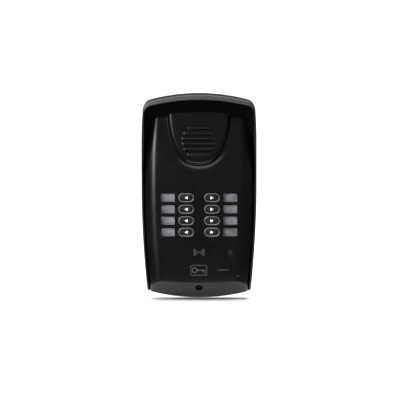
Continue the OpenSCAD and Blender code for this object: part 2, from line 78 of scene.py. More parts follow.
# Hood.
HOOD_BACK, CHEEK_DEPTH, CHEEK_LOW_Z, CHEEK_HIGH_Z = 1.5, 28.0, 15.0, 92.0
BROW_DROP, BROW_START = 4.2, 34.0
RIM_DROP, RIM_R, THROAT_Z, THROAT_R, THROAT_CORNER = 8.7, 205.0, 84.0, 300.0, 5.0
LIP_FRONT, LIP_BACK, LEDGE_DEPTH, LEDGE_W = 37.4, 36.4, 16.0, 4.0
CHEEK_IN = 1.85

# Face panel.
PANEL_INSET, PANEL_TOP_Z, RIM_DEPTH = 3.0, 93.0, 20.0
SIDE_DROP, SIDE_RUN = 10.0, 13.5
BEND = 2 * math.atan(SIDE_DROP / SIDE_RUN)
BEND_R = SIDE_RUN / math.sin(BEND)
CHIN_Z, CHIN_R, CHIN_SLOPE, CHIN_SOFT = -91.7, 382.0, math.radians(33), 0.5
EDGE_RIM_W = 2.45
INNER_DEPTH = FACE_DEPTH - WALL

# Speaker plate and grille.
PLATE_Z, PLATE_HALF_W, PLATE_LEN, PLATE_POWER, PLATE_RISE = 95.0, 31.5, 60.7, 2.35, 3.5
SPEAKER_Z, GRILLE_R, RIB_PITCH, RIB_H, RIB_RISE, SLOT_H, SLOT_END = 56.0, 18.0, 5.4, 3.0, 1.0, 0.9, 2.5
RIBS = range(6)

# Keys and name windows.
KEY_PITCH, KEY_W, KEY_H, KEY_X, KEY_TOP_Z = 11.9, 16.2, 9.1, 13.4, -1.9
RING_W, CAP_GAP, CAP_PROUD = 0.95, 0.3, 1.4
LABEL_X, LABEL_W, LABEL_H = 32.4, 14.4, 8.4
STRIP_FRONT = INNER_DEPTH - 0.2
STRIP_BACK = STRIP_FRONT - 1.2
BOARD_DEPTH, MAT_T, DOME_H, KEY_TRAVEL = FACE_DEPTH - 9, 1.2, 3.0, 1.2
KEY_ROWS = [KEY_TOP_Z - KEY_PITCH * k for k in range(4)]
KEY_MID_Z = KEY_TOP_Z - 1.5 * KEY_PITCH
STRIP_H = 3 * KEY_PITCH + LABEL_H + 3

# Small openings.
LENS_AT, LENS_R = (32.1, -58.7), 2.3
MIC_AT = (40.2, -83.2)
SCREW_Z, SCREW_WELL_R, SCREW_SEAT, SCREW_LEN = -95.8, 3.75, 6.0, 22.0
SCREW_DEPTH = FACE_DEPTH - (CHIN_Z - SCREW_Z) * math.tan(CHIN_SLOPE)


# ---------------------------------------------------------------- meshes

def points3(x, depth, z):
    """Points from x, a depth and z, as one array whose last axis is the coordinate."""
    x, depth, z = np.broadcast_arrays(x, depth, z)
    return np.stack([x, -depth, z], -1).astype(float)


def quads(ids, around=False, across=False):
    """Faces of a grid of vertex numbers; around closes its second axis, and across its first."""
    if around:
        ids = np.concatenate([ids, ids[:, :1]], 1)
    if across:
        ids = np.concatenate([ids, ids[:1]], 0)
    return np.stack([ids[:-1, :-1], ids[1:, :-1], ids[1:, 1:], ids[:-1, 1:]], -1).reshape(-1, 4)


def placed(name, data):
    """A new object in the scene that shows the data."""
    thing = bpy.data.objects.new(name, data)
    bpy.context.scene.collection.objects.link(thing)
    return thing


def make_piece(name, shape, body, slot, replaces=(), uv=None, sharp=40.0, finish=None, dressed=None,
               others=()):
    """A mesh piece from a shape: points in millimetres and four-cornered faces. Points that
    coincide are merged, which also closes poles, and the faces are turned to point outwards.
    dressed numbers each face's finish: 0 for the piece's own, and from 1 on for those in others."""
    points, faces = shape
    mesh = bpy.data.meshes.new(name)
    mesh.from_pydata((np.asarray(points).reshape(-1, 3) * MM).tolist(), [], faces.tolist())
    if uv is not None:
        layer = mesh.uv_layers.new(name="place")
        layer.data.foreach_set("uv", uv.reshape(-1, 2)[faces.ravel()].astype(np.float32).ravel())
    if dressed is not None:
        mesh.polygons.foreach_set("material_index", dressed.astype(np.int32))
    work = bmesh.new()
    work.from_mesh(mesh)
    bmesh.ops.remove_doubles(work, verts=work.verts, dist=2e-6)
    bmesh.ops.dissolve_degenerate(work, edges=work.edges, dist=1e-7)
    bmesh.ops.recalc_face_normals(work, faces=work.faces)
    work.to_mesh(mesh)
    work.free()
    mesh.shade_smooth()
    mesh.set_sharp_from_angle(angle=math.radians(sharp))
    piece = placed(name, mesh)
    for look in (finish or slot, *others):
        mesh.materials.append(MATERIALS[look])
    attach(piece, body)
    if replaces:
        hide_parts(*replaces)
    return piece


def join_grids(grids):
    """One array of points and one of faces from several (points, faces) pairs."""
    offset, points, faces = 0, [], []
    for p, f in grids:
        p = np.asarray(p).reshape(-1, 3)
        points.append(p)
        faces.append(f + offset)
        offset += len(p)
    return np.concatenate(points), np.concatenate(faces)


def lofted(rows, closed=False):
    """A skin over rows of points, each row a closed line; closed joins the last row to the first."""
    rows = np.asarray(rows)
    ids = np.arange(rows.shape[0] * rows.shape[1]).reshape(rows.shape[:2])
    return rows, quads(ids, around=True, across=closed)


def rounded_section(rows, radii, steps=4):
    """Rows of a closed section with its corner rows rounded, and the row that each comes from. A
    corner C with radius r becomes (1-t)^2 A + 2t(1-t) C + t^2 B, with A and B at r from C."""
    out, source, n = [], [], len(rows)
    for k, (row, r) in enumerate(zip(rows, radii)):
        ends = []
        for other in (rows[k - 1], rows[(k + 1) % n]):
            side = other - row
            length = np.linalg.norm(side, axis=-1, keepdims=True)
            ends.append(row + side / np.maximum(length, 1e-9) * np.minimum(r, 0.45 * length))
        for t in np.linspace(0, 1, steps + 1) if r else [0]:
            out.append((1 - t) ** 2 * ends[0] + 2 * t * (1 - t) * row + t * t * ends[1])
            source.append(k)
    return out, np.array(source)


def lines(stops, step):
    """Grid lines through every stop, evenly spaced between them and at most step apart."""
    parts = [np.linspace(a, b, max(math.ceil((b - a) / step - 1e-6), 1), endpoint=False)
             for a, b in zip(stops[:-1], stops[1:])]
    return np.append(np.concatenate(parts), stops[-1])


# ---------------------------------------------------------------- hood

def arc(centre, r, a0, a1, n, end=False):
    """Points on a circle from angle a0 to a1."""
    a = np.linspace(a0, a1, n, endpoint=end)
    return np.stack([centre[0] + r * np.cos(a), centre[1] + r * np.sin(a)], 1)


def angle_to(centre, p):
    """Direction of a point seen from a centre."""
    return math.atan2(p[1] - centre[1], p[0] - centre[0])


def meet(c1, r1, c2, r2, s):
    """Where two circles meet: a along the line between the centres and h square to it, on the
    side that s gives."""
    d = math.dist(c1, c2)
    u = ((c2[0] - c1[0]) / d, (c2[1] - c1[1]) / d)
    a = (d * d + r1 * r1 - r2 * r2) / (2 * d)
    h = math.sqrt(r1 * r1 - a * a)
    return c1[0] + a * u[0] - s * h * u[1], c1[1] + a * u[1] + s * h * u[0]


BOTTOM_N, SIDE_N, SHOULDER_N, CORNER_N, TOP_N = 30, 56, 34, 14, 30


def half_outline(inset, shoulder, corner, top, top_arc):
    """Right half of an outline, from the bottom middle to the top middle. The bottom arc stays on
    the case's own edge and stops where the inner side arc crosses it."""
    side, bottom = (SIDE_X, SIDE_Z), (0.0, BOTTOM_R - TOP_Z)
    turn = math.asin((SHOULDER_Z - SIDE_Z) / SIDE_R)
    hub = (SIDE_X + (SIDE_R - shoulder) * math.cos(turn), SIDE_Z + (SIDE_R - shoulder) * math.sin(turn))
    crown = (0.0, top - top_arc)
    knee = meet(hub, shoulder - inset - corner, crown, top_arc - corner, 1)
    inner_foot = meet(side, SIDE_R - CHEEK_IN, bottom, BOTTOM_R, -1)
    foot = meet(side, SIDE_R - inset, bottom, BOTTOM_R, -1)
    return np.concatenate([
        arc(bottom, BOTTOM_R, -math.pi / 2, angle_to(bottom, inner_foot), BOTTOM_N, end=True),
        arc(side, SIDE_R - inset, angle_to(side, foot), turn, SIDE_N),
        arc(hub, shoulder - inset, turn, angle_to(hub, knee), SHOULDER_N),
        arc(knee, corner, angle_to(hub, knee), angle_to(crown, knee), CORNER_N),
        arc(crown, top_arc, angle_to(crown, knee), math.pi / 2, TOP_N),
        [[0.0, top]]])


def both_halves(half):
    """A whole closed outline from its right half."""
    return np.concatenate([half, half[-2:0:-1] * [-1, 1]])


def case_outline(inset, drop=0.0):
    """The case's own outline drawn in by an inset, with its top lowered by drop."""
    corner = max(TOP_CORNER_R - inset, 1)
    return both_halves(half_outline(inset, SIDE_R, corner, TOP_Z - inset - drop, TOP_R - inset))


def smooth_step(t):
    """A share that starts and ends level: t^2 (3 - 2t)."""
    t = np.clip(t, 0, 1)
    return t * t * (3 - 2 * t)


def hood_front(z):
    """Depth of the hood's front edge: it swells forward up the cheeks and is cut back at the chin."""
    rise = CHEEK_DEPTH + (HOOD_DEPTH - CHEEK_DEPTH) * smooth_step(
        (z - CHEEK_LOW_Z) / (CHEEK_HIGH_Z - CHEEK_LOW_Z))
    return np.minimum(rise, CHEEK_DEPTH + (z - CHIN_Z) / 2)


def make_hood():
    """The hood is one closed section carried round the case: outer wall, rim, cove down to the lip
    over the face, inner wall, ledge and back. Each row of points is a whole outline."""
    cove_rows, wall_share, lip_share = 14, 0.6, 0.2
    lean_most, lean_from, lean_run = 0.95, 60.0, 35.0
    n_half = BOTTOM_N + SIDE_N + SHOULDER_N + CORNER_N + TOP_N + 1
    half_low = np.arange(n_half) < BOTTOM_N
    low = np.concatenate([half_low, half_low[-2:0:-1]])
    ledge_front = LEDGE_DEPTH + WALL

    level, brow = case_outline(0), case_outline(0, BROW_DROP)

    def outer(depth):
        share = np.clip((depth - BROW_START) / (HOOD_DEPTH - BROW_START), 0, 1) ** 2
        return level + (brow - level) * share[:, None]

    def front(plan):
        return np.where(low, ledge_front, hood_front(plan[:, 1]))

    rim = outer(np.full(len(level), HOOD_DEPTH))
    for _ in range(3):
        rim = outer(front(rim))
    rim_depth = front(rim)

    throat = both_halves(half_outline(CHEEK_IN, SHOULDER_R, THROAT_CORNER, THROAT_Z, THROAT_R))
    mouth = both_halves(half_outline(CHEEK_IN, SIDE_R, TOP_CORNER_R - CHEEK_IN, TOP_Z - RIM_DROP, RIM_R))
    inner = both_halves(half_outline(CHEEK_IN, SIDE_R, 4.0, PANEL_TOP_Z + 1, TOP_R + 1))
    ledge = both_halves(half_outline(PANEL_INSET + LEDGE_W, SIDE_R, 3.0, PANEL_TOP_Z - LEDGE_W,
                                     TOP_R - LEDGE_W))
    shell = case_outline(WALL)
    bottom_in = np.array([0.0, LEDGE_W])
    ledge[low] = level[low] + bottom_in
    shell[low] = level[low] + bottom_in * (WALL / LEDGE_W)

    def cove(depth):
        t = np.clip((depth - LIP_FRONT) / (HOOD_DEPTH - LIP_FRONT), 0, 1)[:, None]
        return throat + (mouth - throat) * (1 - (1 - t) ** 2)

    def rim_lean(plan):
        """The rim leans back towards the top edge, more in its middle than down the cheeks."""
        return lean_most * smooth_step((plan[:, 1] - lean_from) / lean_run)

    lip = cove(rim_depth)
    for _ in range(4):
        lip = cove(front(lip))
    lip_depth = front(lip)
    short = lip_depth <= LIP_FRONT

    rows, radii = [], []

    def add(plan, depth, radius=0.0):
        rows.append(points3(plan[:, 0], depth, plan[:, 1]))
        radii.append(radius)

    add(level, HOOD_BACK, 0.6)
    for share in (0.25, 0.5, 0.6, 0.68, 0.76, 0.83, 0.89, 0.94, 0.97):
        depth = HOOD_BACK + (rim_depth - HOOD_BACK) * share
        add(outer(depth), depth)
    add(rim, rim_depth - rim_lean(rim), 0.9)
    rim_row = len(rows)
    soft = {0: 0.6, cove_rows: 0.35, cove_rows + 1: 0.35}
    for k in range(cove_rows + 3):
        reach = k / (cove_rows + 2)
        deep = lip_depth - (lip_depth - LIP_FRONT) * min(k / cove_rows, 1)
        if k > cove_rows:
            deep = np.full(len(level), LIP_BACK)
        plan = np.where(short[:, None] | (k == cove_rows + 2), inner, cove(deep))
        depth = np.where(short, lip_depth - (lip_depth - ledge_front) * wall_share * reach, deep)
        plan = np.where(low[:, None], level + bottom_in * lip_share * reach, plan)
        add(plan, np.where(low, ledge_front, depth), soft.get(k, 0.0))
    add(np.where(low[:, None], level + bottom_in * 2 * lip_share, inner), ledge_front, 0.4)
    add(ledge, ledge_front)
    add(ledge, LEDGE_DEPTH)
    add(shell, LEDGE_DEPTH)
    add(shell, HOOD_BACK, 0.3)
    rows, source = rounded_section(rows, radii)
    # Faces of the cove, lip and inner walls down to the ledge take the second finish, a darker, duller copy
    # of the hood plastic: painted shade in the hood's hollow.
    dressed = ((source > rim_row) & (source < len(radii) - 3)).astype(int)
    # The band at the rim's front takes the third finish, painted lighter towards its top: painted light.
    dressed[np.flatnonzero(source == rim_row - 1)[-1]] = 2
    make_piece("hood_shell", lofted(rows, closed=True), "case", "hood_plastic", ["rain_hood"], sharp=50,
               dressed=np.repeat(dressed, len(level)), others=("hood_inside_painted_shade", "hood_rim_painted_light"))


# ---------------------------------------------------------------- face panel

def side_edge_x(z):
    """Half width of the panel at height z."""
    return SIDE_X + np.sqrt((SIDE_R - PANEL_INSET) ** 2 - (z - SIDE_Z) ** 2)


def sag(x, r):
    """How far an arc of radius r falls away from its middle at x."""
    return r - np.sqrt(r * r - x * x)


def edge_gap(x, z):
    """Distances of a point inside the panel from its nearer side and its nearer end."""
    side = SIDE_R - PANEL_INSET - np.hypot(np.abs(x) - SIDE_X, z - SIDE_Z)
    bottom = BOTTOM_R - np.hypot(x, z - (BOTTOM_R - TOP_Z))
    top = TOP_R - np.hypot(x, z - (PANEL_TOP_Z - TOP_R))
    return side, np.minimum(bottom, top)


def face_drop(x, z, wall=0.0):
    """How far the face lies behind its flat middle: a circular bend near the sides and a cone under
    the chin line, blended by (a^6 + b^6)^(1/6). wall moves both inwards for the inner skin."""
    side, _ = edge_gap(x, z)
    run = np.clip(SIDE_RUN - (side - wall), 0, SIDE_RUN)
    bend = BEND_R - np.sqrt(BEND_R ** 2 - run ** 2)
    past_chin = np.hypot(x, z - (CHIN_Z + CHIN_R)) - CHIN_R + wall * math.tan(CHIN_SLOPE / 2)
    slope = past_chin * math.tan(CHIN_SLOPE)
    chin = (slope + np.sqrt(slope ** 2 + CHIN_SOFT ** 2)) / 2
    return (bend ** 6 + chin ** 6) ** (1 / 6)


def front_depth(x, z):
    """Outer skin of the face."""
    return FACE_DEPTH - face_drop(x, z)


def back_depth(x, z):
    """Inner skin: the wall's thickness behind the face, and a flat rim round the edge."""
    side, ends = edge_gap(x, z)
    deep = np.maximum(INNER_DEPTH - face_drop(x, z, WALL), RIM_DEPTH)
    return np.where(np.minimum(side, ends) < EDGE_RIM_W, RIM_DEPTH, deep)


class Shell:
    """A wall with a front skin and a back skin that share their faces, joined at open edges."""

    def __init__(self):
        self.front, self.back, self.faces, self.count = [], [], [], 0

    def add(self, front, back, keep=None, around=False):
        """Adds a grid of front points and one of back points; keep marks the faces wanted."""
        ids = np.arange(front.shape[0] * front.shape[1]).reshape(front.shape[:2]) + self.count
        faces = quads(ids, around=around)
        if keep is not None:
            faces = faces[keep.ravel()]
        self.front.append(front.reshape(-1, 3))
        self.back.append(back.reshape(-1, 3))
        self.faces.append(faces)
        self.count += ids.size

    def mesh(self):
        """Points and faces of the closed wall. An edge that only one face has is an open one."""
        front, back = np.concatenate(self.front), np.concatenate(self.back)
        faces = np.concatenate(self.faces)
        _, first, same = np.unique(np.round(front, 4), axis=0, return_index=True, return_inverse=True)
        faces = same.reshape(-1)[faces]
        front, back = front[first], back[first]
        edges = np.stack([faces, np.roll(faces, -1, 1)], -1).reshape(-1, 2)
        edges = edges[edges[:, 0] != edges[:, 1]]
        _, at, times = np.unique(np.sort(edges, 1), axis=0, return_index=True, return_counts=True)
        rim = edges[at[times == 1]]
        n = len(front)
        walls = np.stack([rim[:, 1], rim[:, 0], rim[:, 0] + n, rim[:, 1] + n], -1)
        return np.concatenate([front, back]), np.concatenate([faces, faces[:, ::-1] + n, walls])


def frame_of(grid, i0, i1, j0, j1):
    """The points of a grid round a rectangle of its lines, anticlockwise from its low corner."""
    return np.concatenate([grid[i0, j0:j1], grid[i0:i1, j1], grid[i1, j1:j0:-1], grid[i1:i0:-1, j0]])


def nearest_line(values, v):
    """Number of the grid line nearest to a value."""
    return int(np.argmin(np.abs(values - v)))


def rounded_rect_points(around, centre, half, corner, grow, squeeze=1.0):
    """Where lines from a rounded rectangle's core meet its outline, one for each point around it.
    The core is the rectangle drawn in by the corner radius: a point s on it, nearest to the given
    one, and the direction u between them give s + (corner + grow) u."""
    p = (around - centre) / [1, squeeze]
    core = np.maximum(np.array(half) - corner, 0)
    s = np.clip(p, -core, core)
    u = p - s
    u = u / np.maximum(np.linalg.norm(u, axis=1, keepdims=True), 1e-9)
    return centre + (s + (corner + grow) * u) * [1, squeeze]


def cut_opening(shell, around, centre, half, corner, steps):
    """Joins a rectangle of grid lines to a rounded opening inside it. steps are (grow, drop) pairs:
    how far the outline stands out there, and how far it lies behind the face."""
    start = rounded_rect_points(around, centre, half, corner, steps[0][0])
    plans = [around + (start - around) * t for t in (0, 0.5)]
    drops = [0, 0]
    for grow, drop in steps:
        plans.append(rounded_rect_points(around, centre, half, corner, grow))
        drops.append(drop)
    plan = np.stack(plans)
    x, z = plan[..., 0], plan[..., 1]
    drop = np.array(drops)[:, None]
    shell.add(points3(x, front_depth(x, z) - drop, z), points3(x, back_depth(x, z), z), around=True)


def along_screw(side, out, turn_z):
    """Points by distance across, distance out along the screw's axis and distance up the slope."""
    c, s = math.cos(CHIN_SLOPE), math.sin(CHIN_SLOPE)
    side, out, turn_z = np.broadcast_arrays(side, out, turn_z)
    return np.stack([side, -SCREW_DEPTH - out * c - turn_z * s, SCREW_Z - out * s + turn_z * c], -1)


def cut_screw_well(shell, around):
    """The round well for the fixing screw, square to the chin, with a boss behind it."""
    boss_r, hole_r, floor = 5.6, 2.0, -9.0
    centre = np.array([0.0, SCREW_Z])
    squeeze = math.cos(CHIN_SLOPE)
    mouth = rounded_rect_points(around, centre, (SCREW_WELL_R,) * 2, SCREW_WELL_R, 0.35, squeeze)
    boss = rounded_rect_points(around, centre, (boss_r,) * 2, boss_r, 0, squeeze)
    unit = (mouth - centre) / [1, squeeze]
    unit = unit / np.linalg.norm(unit, axis=1, keepdims=True)
    front, back = [], []
    for t in (0, 0.5, 1):
        f = around + (mouth - around) * t
        b = around + (boss - around) * t
        front.append(points3(f[:, 0], front_depth(f[:, 0], f[:, 1]), f[:, 1]))
        back.append(points3(b[:, 0], back_depth(b[:, 0], b[:, 1]), b[:, 1]))
    well = [(SCREW_WELL_R + 0.1, -0.08), (SCREW_WELL_R, -0.35), (SCREW_WELL_R, -SCREW_SEAT + 0.3),
            (SCREW_WELL_R - 0.3, -SCREW_SEAT), (hole_r, -SCREW_SEAT)]
    behind = [(boss_r, floor + 4), (boss_r, floor + 2), (boss_r, floor + 0.3), (boss_r - 0.3, floor),
              (hole_r, floor)]
    for skin, steps in ((front, well), (back, behind)):
        skin += [along_screw(unit[:, 0] * r, out, unit[:, 1] * r) for r, out in steps]
    shell.add(np.stack(front), np.stack(back), around=True)


def plate_line(grow, n):
    """Line round the speaker plate, from its upper left end to its upper right one, evenly spaced:
    x = -(a + grow) cos^(2/p) and z = top - (b + grow) sin^(2/p), cut off at the panel's top arc."""
    a, b = PLATE_HALF_W + grow, PLATE_LEN + grow
    end_z = PANEL_TOP_Z - sag(a, TOP_R)
    start = math.asin(((PLATE_Z - end_z) / b) ** (PLATE_POWER / 2))
    t = np.linspace(start, math.pi - start, 4000)
    x = -a * np.sign(np.cos(t)) * np.abs(np.cos(t)) ** (2 / PLATE_POWER)
    z = PLATE_Z - b * np.sin(t) ** (2 / PLATE_POWER)
    run = np.append(0, np.cumsum(np.hypot(np.diff(x), np.diff(z))))
    at = np.linspace(0, run[-1], n)
    line = np.stack([np.interp(at, run, x), np.interp(at, run, z)], 1)
    line[[0, -1], 1] = PANEL_TOP_Z - sag(line[[0, -1], 0], TOP_R)
    return line


def plate_half(z, grow):
    """Half width of the speaker plate's outline at a height: a (1 - ((top - z) / b)^p)^(1/p)."""
    a, b = PLATE_HALF_W + grow, PLATE_LEN + grow
    return a * (1 - np.clip((PLATE_Z - z) / b, 0, 1) ** PLATE_POWER) ** (1 / PLATE_POWER)


def rib_place(i):
    """Height of a rib's middle line, and half its length: a chord of the grille's circle."""
    rise = RIB_PITCH * (i - 2.5)
    return SPEAKER_Z + rise, math.sqrt(GRILLE_R ** 2 - rise ** 2)


def rib_height(x, z):
    """Height of the grille's ribs over the plate: rows of long domes with round ends, each
    (1 - (r / half height)^4)^(1/2) of the full height at distance r from its middle line."""
    height = np.zeros(np.broadcast(x, z).shape)
    for middle, half in map(rib_place, RIBS):
        reach = half - RIB_H / 2
        r = np.hypot(x - np.clip(x, -reach, reach), z - middle) / (RIB_H / 2)
        height = np.maximum(height, RIB_RISE * np.sqrt(np.clip(1 - r ** 4, 0, 1)))
    return height


def bent_height(x, w):
    """Height of grid line w at x: flat lines between the chin and the visor, arcs beyond."""
    chin_from, top_from = -85.0, 84.0
    t_chin = np.clip((w - chin_from) / (CHIN_Z - chin_from), 0, 1)
    t_low = np.clip((w - CHIN_Z) / (-TOP_Z - CHIN_Z), 0, 1)
    t_top = np.clip((w - top_from) / (PANEL_TOP_Z - top_from), 0, 1)
    z = w + t_chin * (1 - t_low) * sag(x, CHIN_R) + t_low * sag(x, BOTTOM_R)
    return z - t_top * sag(x, TOP_R)


def grille_lines(rows_n, cols_n):
    """Grid lines over the grille, with lines at every slot's edges and ends, and each row's squeeze:
    how far it is drawn in to stay inside the plate."""
    half_w, low, high, dense_share, inside = 20.5, 39.4, 74.8, 0.82, -3.3
    across = np.linspace(-half_w, half_w, cols_n + 1)
    for end in sorted({round(half - SLOT_END, 6) for _, half in map(rib_place, RIBS)}):
        k = nearest_line(across, end)
        across[k], across[cols_n - k] = end, -end
    dense_n = int(rows_n * dense_share)
    up = np.concatenate([np.linspace(low, high, dense_n + 1),
                         np.linspace(high, PANEL_TOP_Z, rows_n - dense_n + 1)[1:]])
    for middle, _ in map(rib_place, RIBS):
        slot_top = middle - RIB_H / 2
        for value in (slot_top - SLOT_H, slot_top):
            up[nearest_line(up, value)] = value
    return across, up, np.minimum(1, (plate_half(up, inside) - 0.3) / half_w)


# The step round the speaker plate from outside in: how far each line stands out from the plate's
# outline, and how high it lies over the face. It dips into a trough before it climbs.
PLATE_STEP = [(8.4, 0.0), (7.4, -0.03), (6.4, -0.13), (5.5, -0.29), (4.6, -0.5), (3.8, -0.68),
              (3.1, -0.79), (2.6, -0.78), (2.2, -0.6), (1.9, -0.22), (1.6, 0.3), (1.35, 0.8),
              (1.05, 1.32), (0.7, 1.78), (0.3, 2.18), (-0.15, 2.55), (-0.6, 2.84), (-1.05, 3.08),
              (-1.5, 3.26), (-1.95, 3.39), (-2.3, 3.45), (-2.5, 3.47), (-2.65, 3.485), (-2.9, PLATE_RISE)]
TROUGH_HIGH, TROUGH_FADE, RAISED_FROM = 52.0, 14.0, -2.6


def raised_skin(x, z, raised):
    """Inner skin behind the speaker plate, which stands out with it where raised says so."""
    skin = back_depth(x, z)
    return np.where(raised & (skin > RIM_DEPTH), INNER_DEPTH + PLATE_RISE, skin)


def add_plate(shell, outer, rows_n, cols_n):
    """The speaker plate: lines from the panel's grid in to the plate's edge, over it, and on to a
    grid with the grille's ribs and slots."""
    across, up, squeeze = grille_lines(rows_n, cols_n)
    gx, gw = np.meshgrid(across, up)
    gx = gx * squeeze[:, None]
    gz = bent_height(gx, gw)
    grid = np.stack([gx, gz], -1)
    inner = np.concatenate([grid[:0:-1, 0], grid[0, :-1], grid[:, -1]])

    step = [plate_line(grow, len(outer)) for grow, _ in PLATE_STEP]
    rings = [outer, (outer + step[0]) / 2] + step
    rings += [step[-1] + (inner - step[-1]) * t for t in (0.2, 0.4, 0.6, 0.8, 1.0)]
    rise = np.array([0.0, 0.0] + [rise for _, rise in PLATE_STEP] + [PLATE_RISE] * 5)[:, None]
    raised = np.array([False] * 2 + [grow < RAISED_FROM for grow, _ in PLATE_STEP] + [True] * 5)[:, None]
    plan = np.stack(rings)
    x, z = plan[..., 0], plan[..., 1]
    rise = np.where(rise < 0, rise * smooth_step((TROUGH_HIGH - z) / TROUGH_FADE), rise)
    plan[:, 0, 1] = PANEL_TOP_Z - sag(x[:, 0], TOP_R)
    plan[:, -1, 1] = PANEL_TOP_Z - sag(x[:, -1], TOP_R)
    shell.add(points3(x, front_depth(x, z) + rise, z), points3(x, raised_skin(x, z, raised), z))

    keep = np.ones((rows_n, cols_n), bool)
    for middle, half in map(rib_place, RIBS):
        slot_top = middle - RIB_H / 2
        k0, k1 = nearest_line(up, slot_top - SLOT_H), nearest_line(up, slot_top)
        end = (half - SLOT_END) / squeeze[k0]
        keep[k0:k1, nearest_line(across, -end):nearest_line(across, end)] = False
    ribs = rib_height(gx, gz)
    ribs[:, [0, -1]] = 0
    ribs[0] = 0
    front = points3(gx, front_depth(gx, gz) + PLATE_RISE + ribs, gz)
    shell.add(front, points3(gx, raised_skin(gx, gz, True), gz), keep=keep)


def make_face():
    """The face panel: a grid bent to the panel's outline, with each opening and the speaker plate
    set into a rectangle of its lines."""
    core_x, plate_x, plate_low, side_lines = 42.6, 40.8, 24.9, 24
    low_edge, grid_step, plate_step = -85.0, 1.15, 0.62
    key_half, label_half, cell_half = KEY_W / 2 + 0.8, LABEL_W / 2 + 0.6, KEY_H / 2 + 0.75
    mic_half, lens_half, screw_cell = (2.1, 1.2), 3.4, (-6, 6, -100.6, -91.1)

    stops = [0.0, screw_cell[1], KEY_X - key_half, KEY_X + key_half, LABEL_X - label_half,
             LENS_AT[0] - lens_half, LENS_AT[0] + lens_half, MIC_AT[0] - mic_half[0],
             LABEL_X + label_half, plate_x, MIC_AT[0] + mic_half[0], core_x]
    half = lines(sorted(stops), grid_step)
    core = np.concatenate([-half[:0:-1], half])
    band = 1 - (1 - np.linspace(0, 1, side_lines + 1)[1:]) ** 1.15

    z_stops = [low_edge, MIC_AT[1] - mic_half[1], MIC_AT[1] + mic_half[1], LENS_AT[1] - lens_half,
               LENS_AT[1] + lens_half, plate_low]
    for z in KEY_ROWS:
        z_stops += [z - cell_half, z + cell_half]
    upper = lines([plate_low, PANEL_TOP_Z - 2.2, PANEL_TOP_Z], plate_step)
    # Lines down the chin, close together at its fold and at the edges of the screw's well.
    chin = [-106.5, -105.2, -104.3, -103.8, -103, -101.9, -100.6, -99.2, -97.6, -96, -94.6, -93.3,
            -92.5, -91.9, -91.5, -91.1, -90.5, -89.7, -88.3, -86.5]
    level = np.concatenate([chin, lines(sorted(z_stops), grid_step)[:-1], upper])

    w = level[:, None]
    x = np.concatenate([-core_x - band[::-1] * 12, core, core_x + band * 12])[None, :] + 0 * w
    for _ in range(6):
        z = bent_height(x, w)
        x[:, -side_lines:] = core_x + band * (side_edge_x(z[:, -1:]) - core_x)
        x[:, :side_lines] = -core_x - band[::-1] * (side_edge_x(z[:, :1]) - core_x)
    z = bent_height(x, w)
    plan = np.stack([x, z], -1)
    xs = np.concatenate([-core_x - band[::-1], core, core_x + band])

    keep = np.ones((len(level) - 1, len(xs) - 1), bool)
    shell = Shell()

    def region(x0, x1, z0, z1):
        i0, i1 = nearest_line(level, z0), nearest_line(level, z1)
        j0, j1 = nearest_line(xs, x0), nearest_line(xs, x1)
        keep[i0:i1, j0:j1] = False
        return i0, i1, j0, j1

    def opening(centre, half_size, corner, cell, steps):
        box = region(centre[0] - cell[0], centre[0] + cell[0], centre[1] - cell[1], centre[1] + cell[1])
        cut_opening(shell, frame_of(plan, *box), np.array(centre), half_size, corner, steps)

    edge = [(0.25, 0.0), (0.09, 0.04), (0.02, 0.12), (0.0, 0.28)]
    seat = edge + [(0.0, 0.8), (-RING_W, 0.8), (-RING_W, 1.6)]
    for side in (-1, 1):
        for z_key in KEY_ROWS:
            opening((side * KEY_X, z_key), (KEY_W / 2, KEY_H / 2), KEY_H / 2, (key_half, cell_half), seat)
            opening((side * LABEL_X, z_key), (LABEL_W / 2, LABEL_H / 2), 0.7, (label_half, cell_half), edge)
    opening(LENS_AT, (LENS_R + 0.1,) * 2, LENS_R + 0.1, (lens_half,) * 2, edge)
    opening(MIC_AT, (1.5, 0.45), 0.45, mic_half, [(0.15, 0.0), (0.03, 0.06), (0.0, 0.2)])
    cut_screw_well(shell, frame_of(plan, *region(*screw_cell)))

    i0, i1, j0, j1 = region(-plate_x, plate_x, plate_low, PANEL_TOP_Z)
    outer = np.concatenate([plan[i1:i0:-1, j0], plan[i0, j0:j1], plan[i0:i1 + 1, j1]])
    add_plate(shell, outer, i1 - i0, j1 - j0)
    shell.add(points3(x, front_depth(x, z), z), points3(x, back_depth(x, z), z), keep=keep)
    make_piece("face_shell", shell.mesh(), "case", "face_plastic", ["face_panel"], sharp=45)


# ---------------------------------------------------------------- keys, rings, arrows

def pill_path(half_w, half_h, n=14):
    """Core points and outward directions of a bar with half-round ends, round it once."""
    a = np.linspace(-math.pi / 2, math.pi / 2, n)
    a = np.concatenate([a, a + math.pi])
    side = np.repeat([1, -1], n)
    return np.stack([side * (half_w - half_h), 0 * a], 1), np.stack([np.cos(a), np.sin(a)], 1)


def pill_rows(centre, half_w, half_h, section):
    """Rows of a pill-shaped piece. section holds (radius, depth, core share): the point on the row
    is the core times its share plus the radius along the outward direction."""
    core, u = pill_path(half_w, half_h)
    rows = []
    for radius, depth, share in section:
        p = np.array(centre) + core * share + u * radius
        rows.append(points3(p[:, 0], depth, p[:, 1]))
    return np.stack(rows)


def key_centre(n):
    """Side of the face that key n is on, and its middle."""
    side = -1 if n <= 4 else 1
    return side, (side * KEY_X, KEY_ROWS[(n - 1) % 4])


